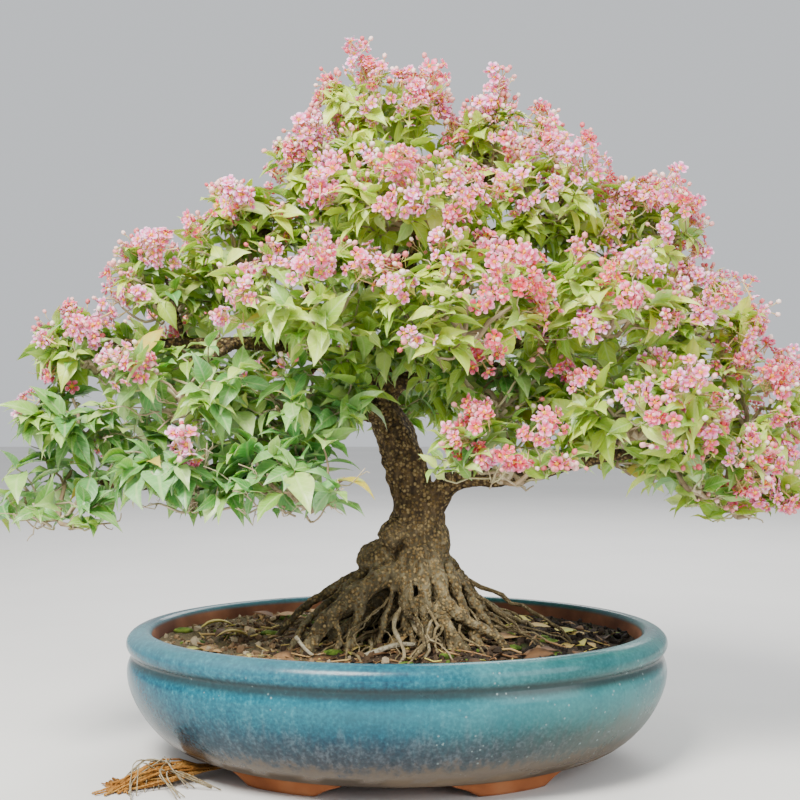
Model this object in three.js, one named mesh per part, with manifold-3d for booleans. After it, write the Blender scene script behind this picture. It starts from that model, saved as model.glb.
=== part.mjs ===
// A flowering Barbados cherry grown as a bonsai in an oval glazed pot on four feet.
// Millimetres, +Z up. While it is built, the pot's centre on the table is (0, 0, 0);
// at the end the whole plant is moved so that the middle of its outer box is there.
import * as THREE from "three";
import { mergeVertices } from "three/addons/utils/BufferGeometryUtils.js";
import Module from "manifold-3d";

const wasm = await Module();
wasm.setup();

// Driving dimensions
const POT_DEPTH_SHARE = 0.78; // the oval's depth over its length
const POT_SEGMENTS = 36;
const FOOT_HEIGHT = 12;
const FOOT_SPAN = [285, 322]; // degrees round the oval, for the front right foot
const FOOT_RING = { outer: 190, inner: 163 };
const DRAIN_HOLE = { x: 95, radius: 14 };
const FLOOR_TOP = 24;
const SOIL_EDGE = 112;
const SOIL_MOUND = { height: 9, reach: 110 };
const TRUNK_FOOT = { x: 16, y: 10 };
const GAP = 0.35; // clearance between two pieces that touch
const CROSSING = 0.002; // cubic mm that two pieces that only touch may seem to share
const ROOT_SIDES = 5;
const BRANCH = { sides: 4, start: 5.5, middle: 4, end: 2.6, sag: 0.07 };
const LEAF = { thickness: 2, width: 0.54, turns: 6 };
// A leaf grown from its mass: how deep its keel is, how far it droops for its length, how much of its
// reach the mass gives up, and how far from flat along its face it has to point
const GROWN_LEAF = { keel: 3.2, droop: 0.32, reach: 8, steepest: 0.5, faceStep: 29 };
// How small a core may be, and how much of the leaves' reach it leaves to them
const CORE = { smallest: 11, levelShare: 0.5, uprightShare: 0.36, detail: 2 };
const FLOWER = { radius: 11, away: 14, tilt: 66 };
const SHOOT = { length: 15, head: 5, stalk: 1.9, root: 7, turns: 30 };
const SEED = 20260;

const COLOURS = {
  glaze: { color: 0x3f8fa6, roughness: 0.22 },
  soil: { color: 0x3b2f25, roughness: 0.95 },
  bark: { color: 0x6a5638, roughness: 0.9 },
  root: { color: 0xa8793a, roughness: 0.9 },
  leaf: { color: 0x6d9c33, roughness: 0.5 },
  fallen: { color: 0x8f9440, roughness: 0.7 },
  petal: { color: 0xe593ab, roughness: 0.6 },
};

// Half-length of the pot's oval and height, from the underside round the outside to the floor inside
const POT_PROFILE = [
  [0, 12], [194, 12], [214, 19], [234, 35], [252, 60], [259.5, 86], [258, 97], [254, 103.5],
  [257.5, 107.5], [260, 113.5], [257, 121.5], [249, 126.5], [239, 127.5], [233.5, 120], [232.5, 112],
  [222, 52], [190, FLOOR_TOP + 2], [0, FLOOR_TOP],
];
// The same inner wall, taken in by the clearance, with the soil's own rings on top
const SOIL_PROFILE = [
  [0, FLOOR_TOP + 0.5], [188, FLOOR_TOP + 2.5], [221, 52], [231.9, SOIL_EDGE],
  [160, SOIL_EDGE], [80, SOIL_EDGE], [0, SOIL_EDGE],
];

// Points of each limb, with the wood's radius there: [x, y, z, radius]
const LIMBS = {
  trunk: {
    sides: 10,
    points: [
      [16, 10, 90, 30], [16, 10, 112, 37], [15, 10, 138, 36], [16, 9, 172, 34],
      [20, 7, 205, 32], [19, 5, 228, 27], [15, 3, 252, 20], [9, 2, 281, 20], [-1, 1, 310, 19],
      [-13, 1, 334, 16], [-17, 3, 356, 14], [-10, 8, 392, 11], [7, 10, 438, 9.5], [3, 6, 490, 7.5],
      [-2, 0, 604, 3.5],
    ],
  },
  right_low: {
    sides: 8,
    points: [
      [20, 6, 222, 17], [36, 0, 247, 14], [50, -5, 264, 11.5], [70, -10, 271, 10.5],
      [97, -15, 269, 9.5], [140, -22, 277, 8], [197, -24, 291, 6.5], [262, -22, 296, 5],
      [318, -24, 288, 3.5],
    ],
  },
  right_mid: {
    sides: 7,
    points: [
      [-14, 3, 344, 12], [2, -4, 362, 10], [28, -10, 365, 9], [80, -20, 384, 7.5],
      [158, -22, 412, 6], [236, -18, 434, 4.5], [280, -18, 438, 3],
    ],
  },
  left_low: {
    sides: 7,
    points: [
      [-8, 0, 330, 12], [-34, -18, 333, 9.5], [-66, -34, 322, 8.5], [-123, -50, 297, 7],
      [-190, -58, 272, 5.5], [-250, -50, 262, 4], [-290, -42, 270, 3],
    ],
  },
  left_mid: {
    sides: 7,
    points: [
      [-16, 4, 352, 12], [-36, 0, 378, 9.5], [-76, -12, 394, 8.5], [-142, -18, 398, 7],
      [-210, -14, 398, 5.5], [-280, -4, 400, 3],
    ],
  },
  left_high: {
    sides: 6,
    points: [[4, 10, 430, 8], [-40, 4, 468, 6.5], [-98, -12, 496, 5.5], [-142, -26, 508, 3.5]],
  },
  right_high: {
    sides: 6,
    points: [[6, 8, 450, 8], [58, 0, 492, 6.5], [128, -8, 516, 5.5], [196, -16, 516, 4], [226, -20, 516, 3]],
  },
  front: {
    sides: 6,
    points: [[5, 8, 446, 7.5], [10, -46, 462, 6.5], [14, -92, 470, 5], [16, -112, 500, 3]],
  },
  back: {
    sides: 6,
    points: [[6, 8, 424, 8], [4, 72, 438, 6.5], [2, 122, 430, 5], [2, 165, 388, 3]],
  },
};

// Surface roots: direction in degrees, height where they leave the trunk, reach along the soil, radius,
// sway, and how they fall: under 1 they arch over, above 1 they sweep down
const ROOTS = [
  [184, 192, 142, 8.5, 4, 0.72], [200, 165, 118, 6.5, -7, 1.3], [218, 172, 112, 10, 6, 1.2],
  [238, 165, 98, 7, -6, 1.5], [262, 188, 66, 9.5, 3, 1.3], [288, 186, 64, 9, -2, 1.3],
  [314, 168, 84, 8, 5, 1.4], [340, 160, 94, 6.5, -6, 1.1], [4, 188, 88, 7.5, 4, 0.75],
  [46, 178, 100, 7.5, -5, 1.2], [90, 174, 86, 8, 5, 1.2], [132, 170, 98, 7.5, -6, 1.2],
];
const BURLS = [
  [-17, -10, 189, 24, 19, 22], [-4, -18, 216, 17, 13, 16], [36, -10, 206, 15, 12, 17],
];

// Foliage masses: name, centre, half-sizes, the limb that carries it and where on the limb its branch
// leaves, the number of leaves and their length
const PADS = [
  ["apex", [-8, 0, 618], [76, 62, 48], "trunk", 1.0, 16, 30],
  ["crown_left", [-72, -22, 562], [68, 58, 48], "left_high", 0.35, 16, 32],
  ["crown_right", [88, 2, 596], [70, 60, 48], "right_high", 0.35, 16, 30],
  ["crown_front", [18, -112, 524], [82, 56, 48], "front", 1.0, 16, 32],
  ["crown_back", [6, 118, 540], [86, 60, 46], "back", 0.3, 14, 36],
  ["shoulder_right", [156, -44, 536], [70, 60, 50], "right_high", 0.62, 16, 32],
  ["high_right", [232, -20, 512], [58, 58, 50], "right_high", 1.0, 16, 32],
  ["high_left", [-150, -38, 506], [66, 60, 46], "left_high", 1.0, 16, 33],
  ["outer_left", [-222, -6, 466], [60, 56, 46], "left_mid", 0.72, 16, 34],
  ["edge_left", [-286, -4, 402], [56, 54, 42], "left_mid", 1.0, 16, 38],
  ["front_left", [-78, -134, 450], [82, 58, 46], "left_mid", 0.32, 16, 40],
  ["front_right", [66, -150, 438], [82, 58, 48], "front", 0.6, 16, 36],
  ["mid_right", [174, -116, 444], [76, 58, 52], "right_mid", 0.5, 16, 35],
  ["outer_right", [284, -22, 432], [60, 58, 52], "right_mid", 1.0, 16, 35],
  ["edge_right", [330, -8, 352], [50, 58, 52], "right_low", 0.82, 16, 40],
  ["low_right", [214, -122, 352], [74, 60, 44], "right_low", 0.6, 16, 40],
  ["tip_right", [326, -26, 282], [54, 54, 42], "right_low", 1.0, 16, 43],
  ["inner_right", [96, -130, 316], [70, 54, 40], "right_low", 0.42, 16, 42],
  ["fork_right", [90, -96, 380], [60, 50, 34], "right_mid", 0.36, 14, 38],
  ["reach_right", [276, -84, 306], [52, 52, 44], "right_low", 0.8, 14, 42],
  ["side_left", [-186, -96, 384], [80, 62, 42], "left_mid", 0.55, 16, 42],
  ["tip_left", [-310, -40, 278], [62, 56, 38], "left_low", 1.0, 16, 48],
  ["low_left", [-186, -112, 292], [76, 56, 34], "left_low", 0.62, 16, 48],
  ["inner_left", [-82, -140, 302], [72, 52, 36], "left_low", 0.32, 16, 46],
  ["under_left", [-94, -92, 366], [74, 54, 36], "left_mid", 0.24, 16, 42],
  ["edge_low_left", [-296, -26, 342], [52, 50, 36], "left_low", 0.84, 16, 42],
  ["back_left", [-196, 122, 416], [88, 68, 54], "left_mid", 0.6, 14, 40],
  ["back_right", [206, 126, 420], [92, 70, 56], "right_mid", 0.6, 14, 40],
  ["back_low", [0, 178, 372], [86, 60, 48], "back", 1.0, 14, 40],
  ["rear_low_left", [-236, 86, 312], [66, 56, 38], "left_low", 0.66, 14, 42],
  ["rear_low_right", [236, 92, 318], [66, 56, 40], "right_low", 0.62, 14, 42],
].map(([name, centre, halfSizes, limb, share, leafCount, leafLength]) => ({
  name, centre, halfSizes, limb, share, leafCount, leafLength,
}));

// Flowering shoots: the mass that bears each, and the way it leaves that mass, [right, back, up]
const SHOOTS = [
  ["apex", [-0.3, -0.55, 0.75]], ["apex", [0.45, -0.75, 0.4]], ["crown_left", [-0.1, -0.85, 0.45]],
  ["crown_right", [0.1, -0.65, 0.7]], ["crown_front", [-0.25, -0.95, 0.35]],
  ["crown_back", [0.1, 0.7, 0.75]], ["shoulder_right", [0.1, -0.8, 0.55]],
  ["high_right", [0.25, -0.8, 0.45]], ["high_left", [0.1, -0.88, 0.4]],
  ["outer_left", [0.05, -0.9, 0.35]], ["edge_left", [0.1, -0.95, 0.2]], ["low_left", [0.1, -0.9, 0.4]],
  ["front_left", [0.15, -0.95, 0.35]], ["front_right", [0.35, -0.95, 0.45]],
  ["side_left", [-0.5, -0.8, -0.2]], ["outer_right", [0.1, -0.9, 0.1]],
  ["edge_right", [0.3, -0.9, 0.2]], ["tip_right", [0.2, -0.95, 0.1]], ["low_right", [0.4, -0.9, 0.2]],
  ["inner_right", [-0.55, -0.8, -0.05]],
  ["back_right", [0.55, 0.75, 0.4]], ["back_left", [-0.3, 0.8, 0.55]],
];

// Leaves that fell on the soil: place, heading in degrees, length
const FALLEN_LEAVES = [[-200, 46, 12, 40], [-141, -8, 200, 36], [-2, -86, 70, 32]];

// Roots that grew out of the left drain hole: [x, y, z, radius]
const ESCAPED_ROOTS = [
  {
    sides: 7,
    points: [
      [-95, 0, 24, 4], [-95.5, -1, 12, 4.5], [-100, -6, 6.3, 5], [-120, -22, 5.8, 5.3],
      [-150, -46, 5.8, 5.3], [-177, -70, 6, 5.6], [-205, -93, 10.5, 10], [-228, -106, 8, 7.5],
      [-242, -112, 5, 3.5],
    ],
  },
  { sides: 5, points: [[-178, -72, 7, 4], [-200, -113, 8, 7], [-215, -130, 5, 3.5]] },
  { sides: 4, points: [[-205, -92, 11, 4], [-240, -92, 7, 2.4], [-264, -101, 2.5, 1.4]] },
  { sides: 4, points: [[-204, -95, 8, 4], [-184, -135, 5, 2.4], [-158, -152, 2.5, 1.4]] },
  { sides: 4, points: [[-200, -88, 10, 4], [-232, -68, 7, 2.2], [-252, -50, 2.5, 1.4]] },
];

const radians = THREE.MathUtils.degToRad;
const vector = ([x, y, z]) => new THREE.Vector3(x, y, z);

// The same numbers on each run
function makeRandom(seed) {
  let state = seed >>> 0;
  return () => {
    state = (Math.imul(state, 1664525) + 1013904223) >>> 0;
    return state / 4294967296;
  };
}

function geometryOf(positions, triangles) {
  const geometry = new THREE.BufferGeometry();
  geometry.setAttribute("position", new THREE.Float32BufferAttribute(positions, 3));
  geometry.setIndex(triangles);
  return geometry;
}

// A closed geometry as a solid that can be joined and cut
function solidOf(geometry) {
  const bare = geometry.clone();
  bare.deleteAttribute("normal");
  bare.deleteAttribute("uv");
  const merged = mergeVertices(bare, 1e-4);
  return new wasm.Manifold(
    new wasm.Mesh({
      numProp: 3,
      vertProperties: new Float32Array(merged.attributes.position.array),
      triVerts: new Uint32Array(merged.index.array),
    }),
  );
}

function meshOf(name, solid, look) {
  const { vertProperties, triVerts } = solid.getMesh();
  const geometry = geometryOf(Array.from(vertProperties), Array.from(triVerts));
  geometry.computeVertexNormals();
  const mesh = new THREE.Mesh(geometry, new THREE.MeshStandardMaterial({ ...look, metalness: 0 }));
  mesh.name = name;
  return mesh;
}

function joined(solids) {
  return solids.reduce((whole, one) => whole.add(one));
}

// The largest body of a solid, without the loose scraps that a cut can leave
function largestBody(solid) {
  return solid.decompose().reduce((best, one) => (one.volume() > best.volume() ? one : best));
}

function meets(solid, others) {
  return others.some((other) => {
    const a = solid.boundingBox();
    const b = other.boundingBox();
    const apart = [0, 1, 2].some((k) => a.min[k] > b.max[k] || b.min[k] > a.max[k]);
    return !apart && solid.intersect(other).volume() > CROSSING;
  });
}

// A closed tube through points [x, y, z, radius], whose section can be lumpy
function tube(points, sides, grow = 0, lump = () => 1) {
  const centres = points.map(vector);
  const positions = [];
  const triangles = [];
  let across = new THREE.Vector3(0, 1, 0);
  centres.forEach((centre, i) => {
    const along = centres[Math.min(i + 1, centres.length - 1)]
      .clone()
      .sub(centres[Math.max(i - 1, 0)])
      .normalize();
    across.addScaledVector(along, -across.dot(along)).normalize();
    const side = along.clone().cross(across);
    for (let k = 0; k < sides; k++) {
      const angle = (2 * Math.PI * k) / sides;
      const radius = points[i][3] * lump(angle, centre.z) + grow;
      const corner = centre
        .clone()
        .addScaledVector(across, radius * Math.cos(angle))
        .addScaledVector(side, radius * Math.sin(angle));
      positions.push(...corner.toArray());
    }
  });
  for (let i = 0; i + 1 < centres.length; i++) {
    for (let k = 0; k < sides; k++) {
      const [a, b] = [i * sides + k, i * sides + ((k + 1) % sides)];
      triangles.push(a, b, a + sides, b, b + sides, a + sides);
    }
  }
  const last = (centres.length - 1) * sides;
  for (let k = 1; k + 1 < sides; k++) {
    triangles.push(0, k + 1, k, last, last + k, last + k + 1);
  }
  return solidOf(geometryOf(positions, triangles));
}

// The three-cornered faces of a lumpy round mass
function lumpFaces(centre, halfSizes, grow = 0, detail = 1) {
  const place = new THREE.OctahedronGeometry(1, detail).attributes.position;
  const corners = Array.from({ length: place.count }, (_, i) => {
    const p = new THREE.Vector3().fromBufferAttribute(place, i);
    const swell = 1 + 0.09 * Math.sin(5 * p.x + centre[0]) + 0.07 * Math.cos(4 * p.y + 6 * p.z + centre[1]);
    const sizes = vector(halfSizes).multiplyScalar(swell).addScalar(grow);
    return vector(centre).add(p.multiply(sizes));
  });
  return Array.from({ length: place.count / 3 }, (_, i) => corners.slice(3 * i, 3 * i + 3));
}

// A closed solid from its three-cornered faces
function solidOfFaces(faces) {
  const positions = faces.flat().flatMap((corner) => corner.toArray());
  return solidOf(geometryOf(positions, [...positions.keys()].slice(0, positions.length / 3)));
}

function lump(centre, halfSizes, grow = 0) {
  return solidOfFaces(lumpFaces(centre, halfSizes, grow));
}

// An oval turned shape from a profile of [half-length, height]
function ovalTurned(profile) {
  const outline = profile.map(([radius, height]) => new THREE.Vector2(radius, height));
  return new THREE.LatheGeometry(outline, POT_SEGMENTS).rotateX(Math.PI / 2).scale(1, POT_DEPTH_SHARE, 1);
}

// One foot: a piece of the ring under the pot, with ends that rise in a hollow curve
function foot(startDegrees, endDegrees) {
  const STEPS = 7;
  const positions = [];
  const triangles = [];
  const top = FOOT_HEIGHT + 4;
  for (let i = 0; i <= STEPS; i++) {
    const angle = radians(startDegrees + ((endDegrees - startDegrees) * i) / STEPS);
    const bottom = [FOOT_HEIGHT - 1.5, 3.5][Math.min(i, STEPS - i)] ?? 0;
    const { outer, inner } = FOOT_RING;
    const ring = [[outer, bottom], [inner, bottom], [inner - 4, top], [outer + 2, top]];
    for (const [length, height] of ring) {
      positions.push(length * Math.cos(angle), length * POT_DEPTH_SHARE * Math.sin(angle), height);
    }
  }
  for (let i = 0; i < STEPS; i++) {
    for (let k = 0; k < 4; k++) {
      const [a, b] = [i * 4 + k, i * 4 + ((k + 1) % 4)];
      triangles.push(a, b, a + 4, b, b + 4, a + 4);
    }
  }
  const last = STEPS * 4;
  triangles.push(0, 2, 1, 0, 3, 2, last, last + 1, last + 2, last, last + 2, last + 3);
  return solidOf(geometryOf(positions, triangles));
}

function drainHole(x) {
  const geometry = new THREE.CylinderGeometry(DRAIN_HOLE.radius, DRAIN_HOLE.radius, 40, 12);
  return solidOf(geometry.rotateX(Math.PI / 2).translate(x, 0, FLOOR_TOP - 10));
}

function makePot() {
  const [start, end] = FOOT_SPAN;
  const spans = [[start, end], [540 - end, 540 - start], [start - 180, end - 180], [360 - end, 360 - start]];
  const feet = spans.map(([from, to]) => foot(from, to));
  return joined([solidOf(ovalTurned(POT_PROFILE)), ...feet])
    .subtract(drainHole(DRAIN_HOLE.x))
    .subtract(drainHole(-DRAIN_HOLE.x));
}

// The soil rises to the trunk and is uneven
function soilHeight(x, y) {
  const away = Math.hypot(x - TRUNK_FOOT.x, y - TRUNK_FOOT.y) / SOIL_MOUND.reach;
  const grit = 1.6 * Math.sin(x / 13 + 1) * Math.cos(y / 11) + 1.1 * Math.sin(x / 29 + y / 17);
  return SOIL_MOUND.height * Math.exp(-away * away) + grit;
}

function makeSoil(plantedWood) {
  const geometry = ovalTurned(SOIL_PROFILE);
  const place = geometry.attributes.position;
  for (let i = 0; i < place.count; i++) {
    if (place.getZ(i) < SOIL_EDGE - 1) continue;
    const [x, y] = [place.getX(i), place.getY(i)];
    const inside = Math.hypot(x, y / POT_DEPTH_SHARE) < 225 ? 1 : 0;
    place.setZ(i, SOIL_EDGE + inside * soilHeight(x, y));
  }
  return largestBody(solidOf(geometry).subtract(plantedWood));
}

// Points of a surface root, which leaves the trunk, arches over and dives into the soil
function rootPoints([degrees, startHeight, reach, radius, sway, fall]) {
  const STEPS = 4;
  const angle = radians(degrees);
  const out = new THREE.Vector2(Math.cos(angle), Math.sin(angle));
  return Array.from({ length: STEPS + 1 }, (_, i) => {
    const t = i / STEPS;
    const distance = 14 + (reach - 14) * t;
    const aside = sway * Math.sin(Math.PI * 2 * t) * (0.4 + t);
    const x = TRUNK_FOOT.x + out.x * distance - out.y * aside;
    const y = TRUNK_FOOT.y + out.y * distance + out.x * aside;
    const ground = SOIL_EDGE + soilHeight(x, y) - 9 * t;
    const z = ground + (startHeight - ground) * (1 - t) ** fall;
    return [x, y, z, radius * (1 - 0.62 * t)];
  });
}

// The point at a share of a limb's length, with the wood's radius there
function pointOnLimb(name, share) {
  const { points } = LIMBS[name];
  const lengths = points.slice(1).map((p, i) => vector(p).distanceTo(vector(points[i])));
  let left = share * lengths.reduce((sum, one) => sum + one, 0);
  let i = 0;
  while (i < lengths.length - 1 && left > lengths[i]) {
    left -= lengths[i];
    i += 1;
  }
  const t = Math.min(1, left / lengths[i]);
  return points[i].map((value, k) => value + (points[i + 1][k] - value) * t);
}

// The branch from a limb up into a foliage mass
function branchPoints({ centre, halfSizes, limb, share }) {
  const start = pointOnLimb(limb, share);
  const end = [centre[0], centre[1], centre[2] - 0.1 * halfSizes[2]];
  const middle = start.slice(0, 3).map((value, k) => value + (end[k] - value) * 0.55);
  middle[2] -= BRANCH.sag * vector(start).distanceTo(vector(end));
  const startRadius = Math.min(start[3] * 0.8, BRANCH.start);
  const middleRadius = Math.min(start[3] * 0.65, BRANCH.middle);
  return [[...start.slice(0, 3), startRadius], [...middle, middleRadius], [...end, BRANCH.end]];
}

function makeWood(grow) {
  const barkRidges = (angle, z) => {
    const broad = 0.09 * Math.sin(3 * angle + z / 19);
    return 1 + broad + 0.05 * Math.sin(5 * angle - z / 13);
  };
  const limbs = Object.entries(LIMBS).map(([name, { points, sides }]) =>
    tube(points, sides, grow, name === "trunk" ? barkRidges : undefined),
  );
  const roots = ROOTS.map((root) => tube(rootPoints(root), ROOT_SIDES, grow));
  const onBranches = PADS.filter((pad) => pad.share < 1);
  const branches = onBranches.map((pad) => tube(branchPoints(pad), BRANCH.sides, grow));
  const burls = BURLS.map(([x, y, z, ...halfSizes]) => lump([x, y, z], halfSizes, grow));
  return joined([...limbs, ...roots, ...branches, ...burls]);
}

// An ovate leaf with a folded midrib and waved edges, along +X from its root, as a closed thin solid
function leaf(length, wave, grow = 0) {
  const width = LEAF.width * length + 2 * grow;
  const thick = LEAF.thickness + 2 * grow;
  const arch = (share) => length * (0.1 * share - 0.26 * share * share);
  const edge = (share, half, side) => {
    const lift = arch(share) + 0.08 * length * half + side * wave * (share - 0.5);
    return [share * length, side * half * width * 0.5, lift];
  };
  const ring = [
    [0, 0, 0], edge(0.3, 0.94, 1), edge(0.68, 0.82, 1), [length + grow, 0, arch(1)],
    edge(0.68, 0.82, -1), edge(0.3, 0.94, -1),
  ];
  const middle = [0.46 * length, 0, arch(0.46)];
  const positions = [...ring, [middle[0], 0, middle[2] + thick / 2], [middle[0], 0, middle[2] - thick / 2]];
  const triangles = ring.flatMap((_, k) => [(k + 1) % 6, k, 6, k, (k + 1) % 6, 7]);
  return solidOf(geometryOf(positions.flat(), triangles));
}

// A flower on one four-cornered side of its shoot's head: the funnel widens to five blunt petals
// round a raised middle. Adds its points and triangles to those of the shoot
function addFlower(positions, triangles, corners, centre, out, radius) {
  const first = positions.length;
  const toCorner = positions[corners[0]].clone().sub(centre);
  const across = toCorner.addScaledVector(out, -toCorner.dot(out)).normalize();
  const side = out.clone().cross(across);
  const rimAngle = (k) => (Math.floor(k / 3) * 72 + [0, 36, 60][k % 3]) * (Math.PI / 180);
  const rimShare = [[0.42, 0], [1, 0.26], [1, 0.2]];
  for (let k = 0; k < 15; k++) {
    const [share, lift] = rimShare[k % 3];
    const angle = rimAngle(k) - (k % 3 ? radians(12) : 0);
    const point = centre.clone().addScaledVector(out, radius * lift);
    point.addScaledVector(across, radius * share * Math.cos(angle));
    point.addScaledVector(side, radius * share * Math.sin(angle));
    positions.push(point);
  }
  positions.push(centre.clone().addScaledVector(out, 1.2));
  for (let k = 0; k < 15; k++) {
    const next = (k + 1) % 15;
    const corner = corners[Math.round((k * 4) / 15) % 4];
    const nextCorner = corners[Math.round(((k + 1) * 4) / 15) % 4];
    triangles.push(first + k, first + next, first + 15, corner, first + next, first + k);
    if (corner !== nextCorner) triangles.push(corner, nextCorner, first + next);
  }
}

// A flowering shoot: a thin stalk, and a head with a flower on its end and on each of its four sides
function makeShoot(seat, direction, random, grow = 0) {
  const turn = random() * Math.PI;
  const bend = new THREE.Vector3(random() - 0.5, random() - 0.5, random() - 0.5).multiplyScalar(3);
  const level = new THREE.Vector3(-direction.y, direction.x, 0.01).normalize();
  const across = level.applyAxisAngle(direction, turn);
  const side = direction.clone().cross(across);
  const positions = [];
  const ring = (away, half, aside) => {
    const start = positions.length;
    for (const [a, b] of [[1, 0], [0, 1], [-1, 0], [0, -1]]) {
      const corner = seat.clone().addScaledVector(direction, away).add(aside);
      positions.push(corner.addScaledVector(across, a * half).addScaledVector(side, b * half));
    }
    return [start, start + 1, start + 2, start + 3];
  };
  const straight = new THREE.Vector3();
  const rings = [
    ring(-SHOOT.root, SHOOT.stalk + grow, straight),
    ring(0.5 * SHOOT.length, SHOOT.stalk + grow, bend),
    ring(SHOOT.length - 4, SHOOT.head + grow, straight),
    ring(SHOOT.length + 4, SHOOT.head * 0.7 + grow, straight),
  ];
  const triangles = [rings[0][0], rings[0][2], rings[0][1], rings[0][0], rings[0][3], rings[0][2]];
  for (const [lower, upper] of [[rings[0], rings[1]], [rings[1], rings[2]]]) {
    for (let k = 0; k < 4; k++) {
      const next = (k + 1) % 4;
      triangles.push(lower[k], lower[next], upper[k], lower[next], upper[next], upper[k]);
    }
  }
  const middle = seat.clone().addScaledVector(direction, SHOOT.length);
  const size = () => FLOWER.radius * (0.9 + 0.2 * random()) + grow;
  const end = middle.clone().addScaledVector(direction, FLOWER.away);
  addFlower(positions, triangles, rings[3], end, direction, size());
  for (let k = 0; k < 4; k++) {
    const next = (k + 1) % 4;
    const away = across.clone().applyAxisAngle(direction, Math.PI / 4 + (k * Math.PI) / 2);
    const tilt = radians(FLOWER.tilt + 16 * (random() - 0.5));
    const out = direction.clone().multiplyScalar(Math.cos(tilt)).addScaledVector(away, Math.sin(tilt));
    const corners = [rings[2][k], rings[2][next], rings[3][next], rings[3][k]];
    addFlower(positions, triangles, corners, middle.clone().addScaledVector(out, FLOWER.away), out, size());
  }
  return solidOf(geometryOf(positions.flatMap((p) => p.toArray()), triangles));
}

// A transform that puts +X along one direction, with +Z as near as can be to another, at a place
function aimed(direction, up, place) {
  const x = direction.clone().normalize();
  const y = up.clone().cross(x).normalize();
  const z = x.clone().cross(y);
  return new THREE.Matrix4().makeBasis(x, y, z).setPosition(place);
}

// An even spread of directions over a ball
function directionOf(i, count) {
  const height = 1 - (2 * (i + 0.5)) / count;
  const angle = i * Math.PI * (3 - Math.sqrt(5));
  const level = Math.sqrt(1 - height * height);
  return new THREE.Vector3(level * Math.cos(angle), level * Math.sin(angle), height);
}

function innerSizes({ halfSizes, leafLength }) {
  const reach = leafLength - GROWN_LEAF.reach;
  const shares = [CORE.levelShare, CORE.levelShare, CORE.uprightShare];
  return halfSizes.map((size, k) => Math.max(CORE.smallest, size - shares[k] * reach));
}

// The faces of the inner mass of a foliage pad, which its leaves grow from
function coreFaces(pad, grow = 0) {
  return lumpFaces(pad.centre, innerSizes(pad), grow, CORE.detail);
}

function coreOf(pad, grow = 0) {
  return solidOfFaces(coreFaces(pad, grow));
}

function surfacePoint(pad, direction) {
  const offsets = innerSizes(pad).map((size, k) => size * direction.getComponent(k));
  return vector(pad.centre).add(vector(offsets));
}

function jitter(random, size) {
  return new THREE.Vector3(random() - 0.5, random() - 0.5, random() - 0.5).multiplyScalar(size);
}

// A pad's solid cut clear of the wood and of the inner masses of the pads before it
function cleared(solid, pad, woodWithGap) {
  const before = PADS.slice(0, PADS.indexOf(pad)).map((other) => coreOf(other, GAP));
  const cut = before.reduce((left, other) => left.subtract(other), solid.subtract(woodWithGap));
  return largestBody(cut);
}

// Every flowering shoot, turned until it clears the wood, the other masses and the shoots before it
function makeShoots(random, woodWithGap) {
  const coresWithGap = new Map(PADS.map((pad) => [pad.name, coreOf(pad, GAP)]));
  const shoots = [];
  const shootsWithGap = [];
  SHOOTS.forEach(([padName, way], i) => {
    const pad = PADS.find((one) => one.name === padName);
    const others = [...coresWithGap].filter(([name]) => name !== padName).map(([, core]) => core);
    const obstacles = [woodWithGap, ...others, ...shootsWithGap];
    for (let turn = 0; turn < SHOOT.turns; turn++) {
      const direction = vector(way).normalize().add(jitter(random, 0.08 * turn)).normalize();
      const make = (grow) => makeShoot(surfacePoint(pad, direction), direction, makeRandom(SEED + i), grow);
      if (meets(make(0), obstacles)) continue;
      shoots.push(largestBody(make(0).subtract(coresWithGap.get(padName))));
      shootsWithGap.push(make(GAP));
      return;
    }
  });
  return shoots;
}

// A leaf that stands on a three-cornered face: the face's corners, its two waved edges, its keel and its
// drooping tip
function grownLeaf(face, way, length, wave, grow = 0) {
  const middle = face[0].clone().add(face[1]).add(face[2]).divideScalar(3);
  const side = new THREE.Vector3(-way.y, way.x, 0).normalize();
  const up = way.clone().cross(side);
  const half = LEAF.width * length * 0.5 + grow;
  const at = (share, aside, lift) => {
    const point = middle.clone().addScaledVector(way, share * length + grow);
    point.addScaledVector(side, aside).addScaledVector(up, lift);
    point.z -= GROWN_LEAF.droop * length * share * share;
    return point;
  };
  const foot = face.map((corner) => {
    const out = corner.clone().sub(middle);
    return out.setLength(out.length() + grow).add(middle);
  });
  const edges = [at(0.58, half, wave), at(0.52, -half, -wave), at(0.55, 0, -GROWN_LEAF.keel - grow)];
  return [...foot, ...edges, at(1, 0, 0)];
}

function hullOf(points) {
  return wasm.Manifold.hull(points.map((point) => point.toArray()));
}

// The faces of the hull of some points, apart from the one that its first three points make
function hullFaces(points) {
  const { vertProperties, triVerts } = hullOf(points).getMesh();
  const indexOf = (vertex) => {
    const place = new THREE.Vector3().fromArray(vertProperties, 3 * vertex);
    const distances = points.map((point) => point.distanceTo(place));
    return distances.indexOf(Math.min(...distances));
  };
  const corners = Array.from(triVerts, indexOf);
  const faces = Array.from({ length: corners.length / 3 }, (_, i) => corners.slice(3 * i, 3 * i + 3));
  return faces.filter((face) => face.some((i) => i > 2)).map((face) => face.map((i) => points[i]));
}

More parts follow.
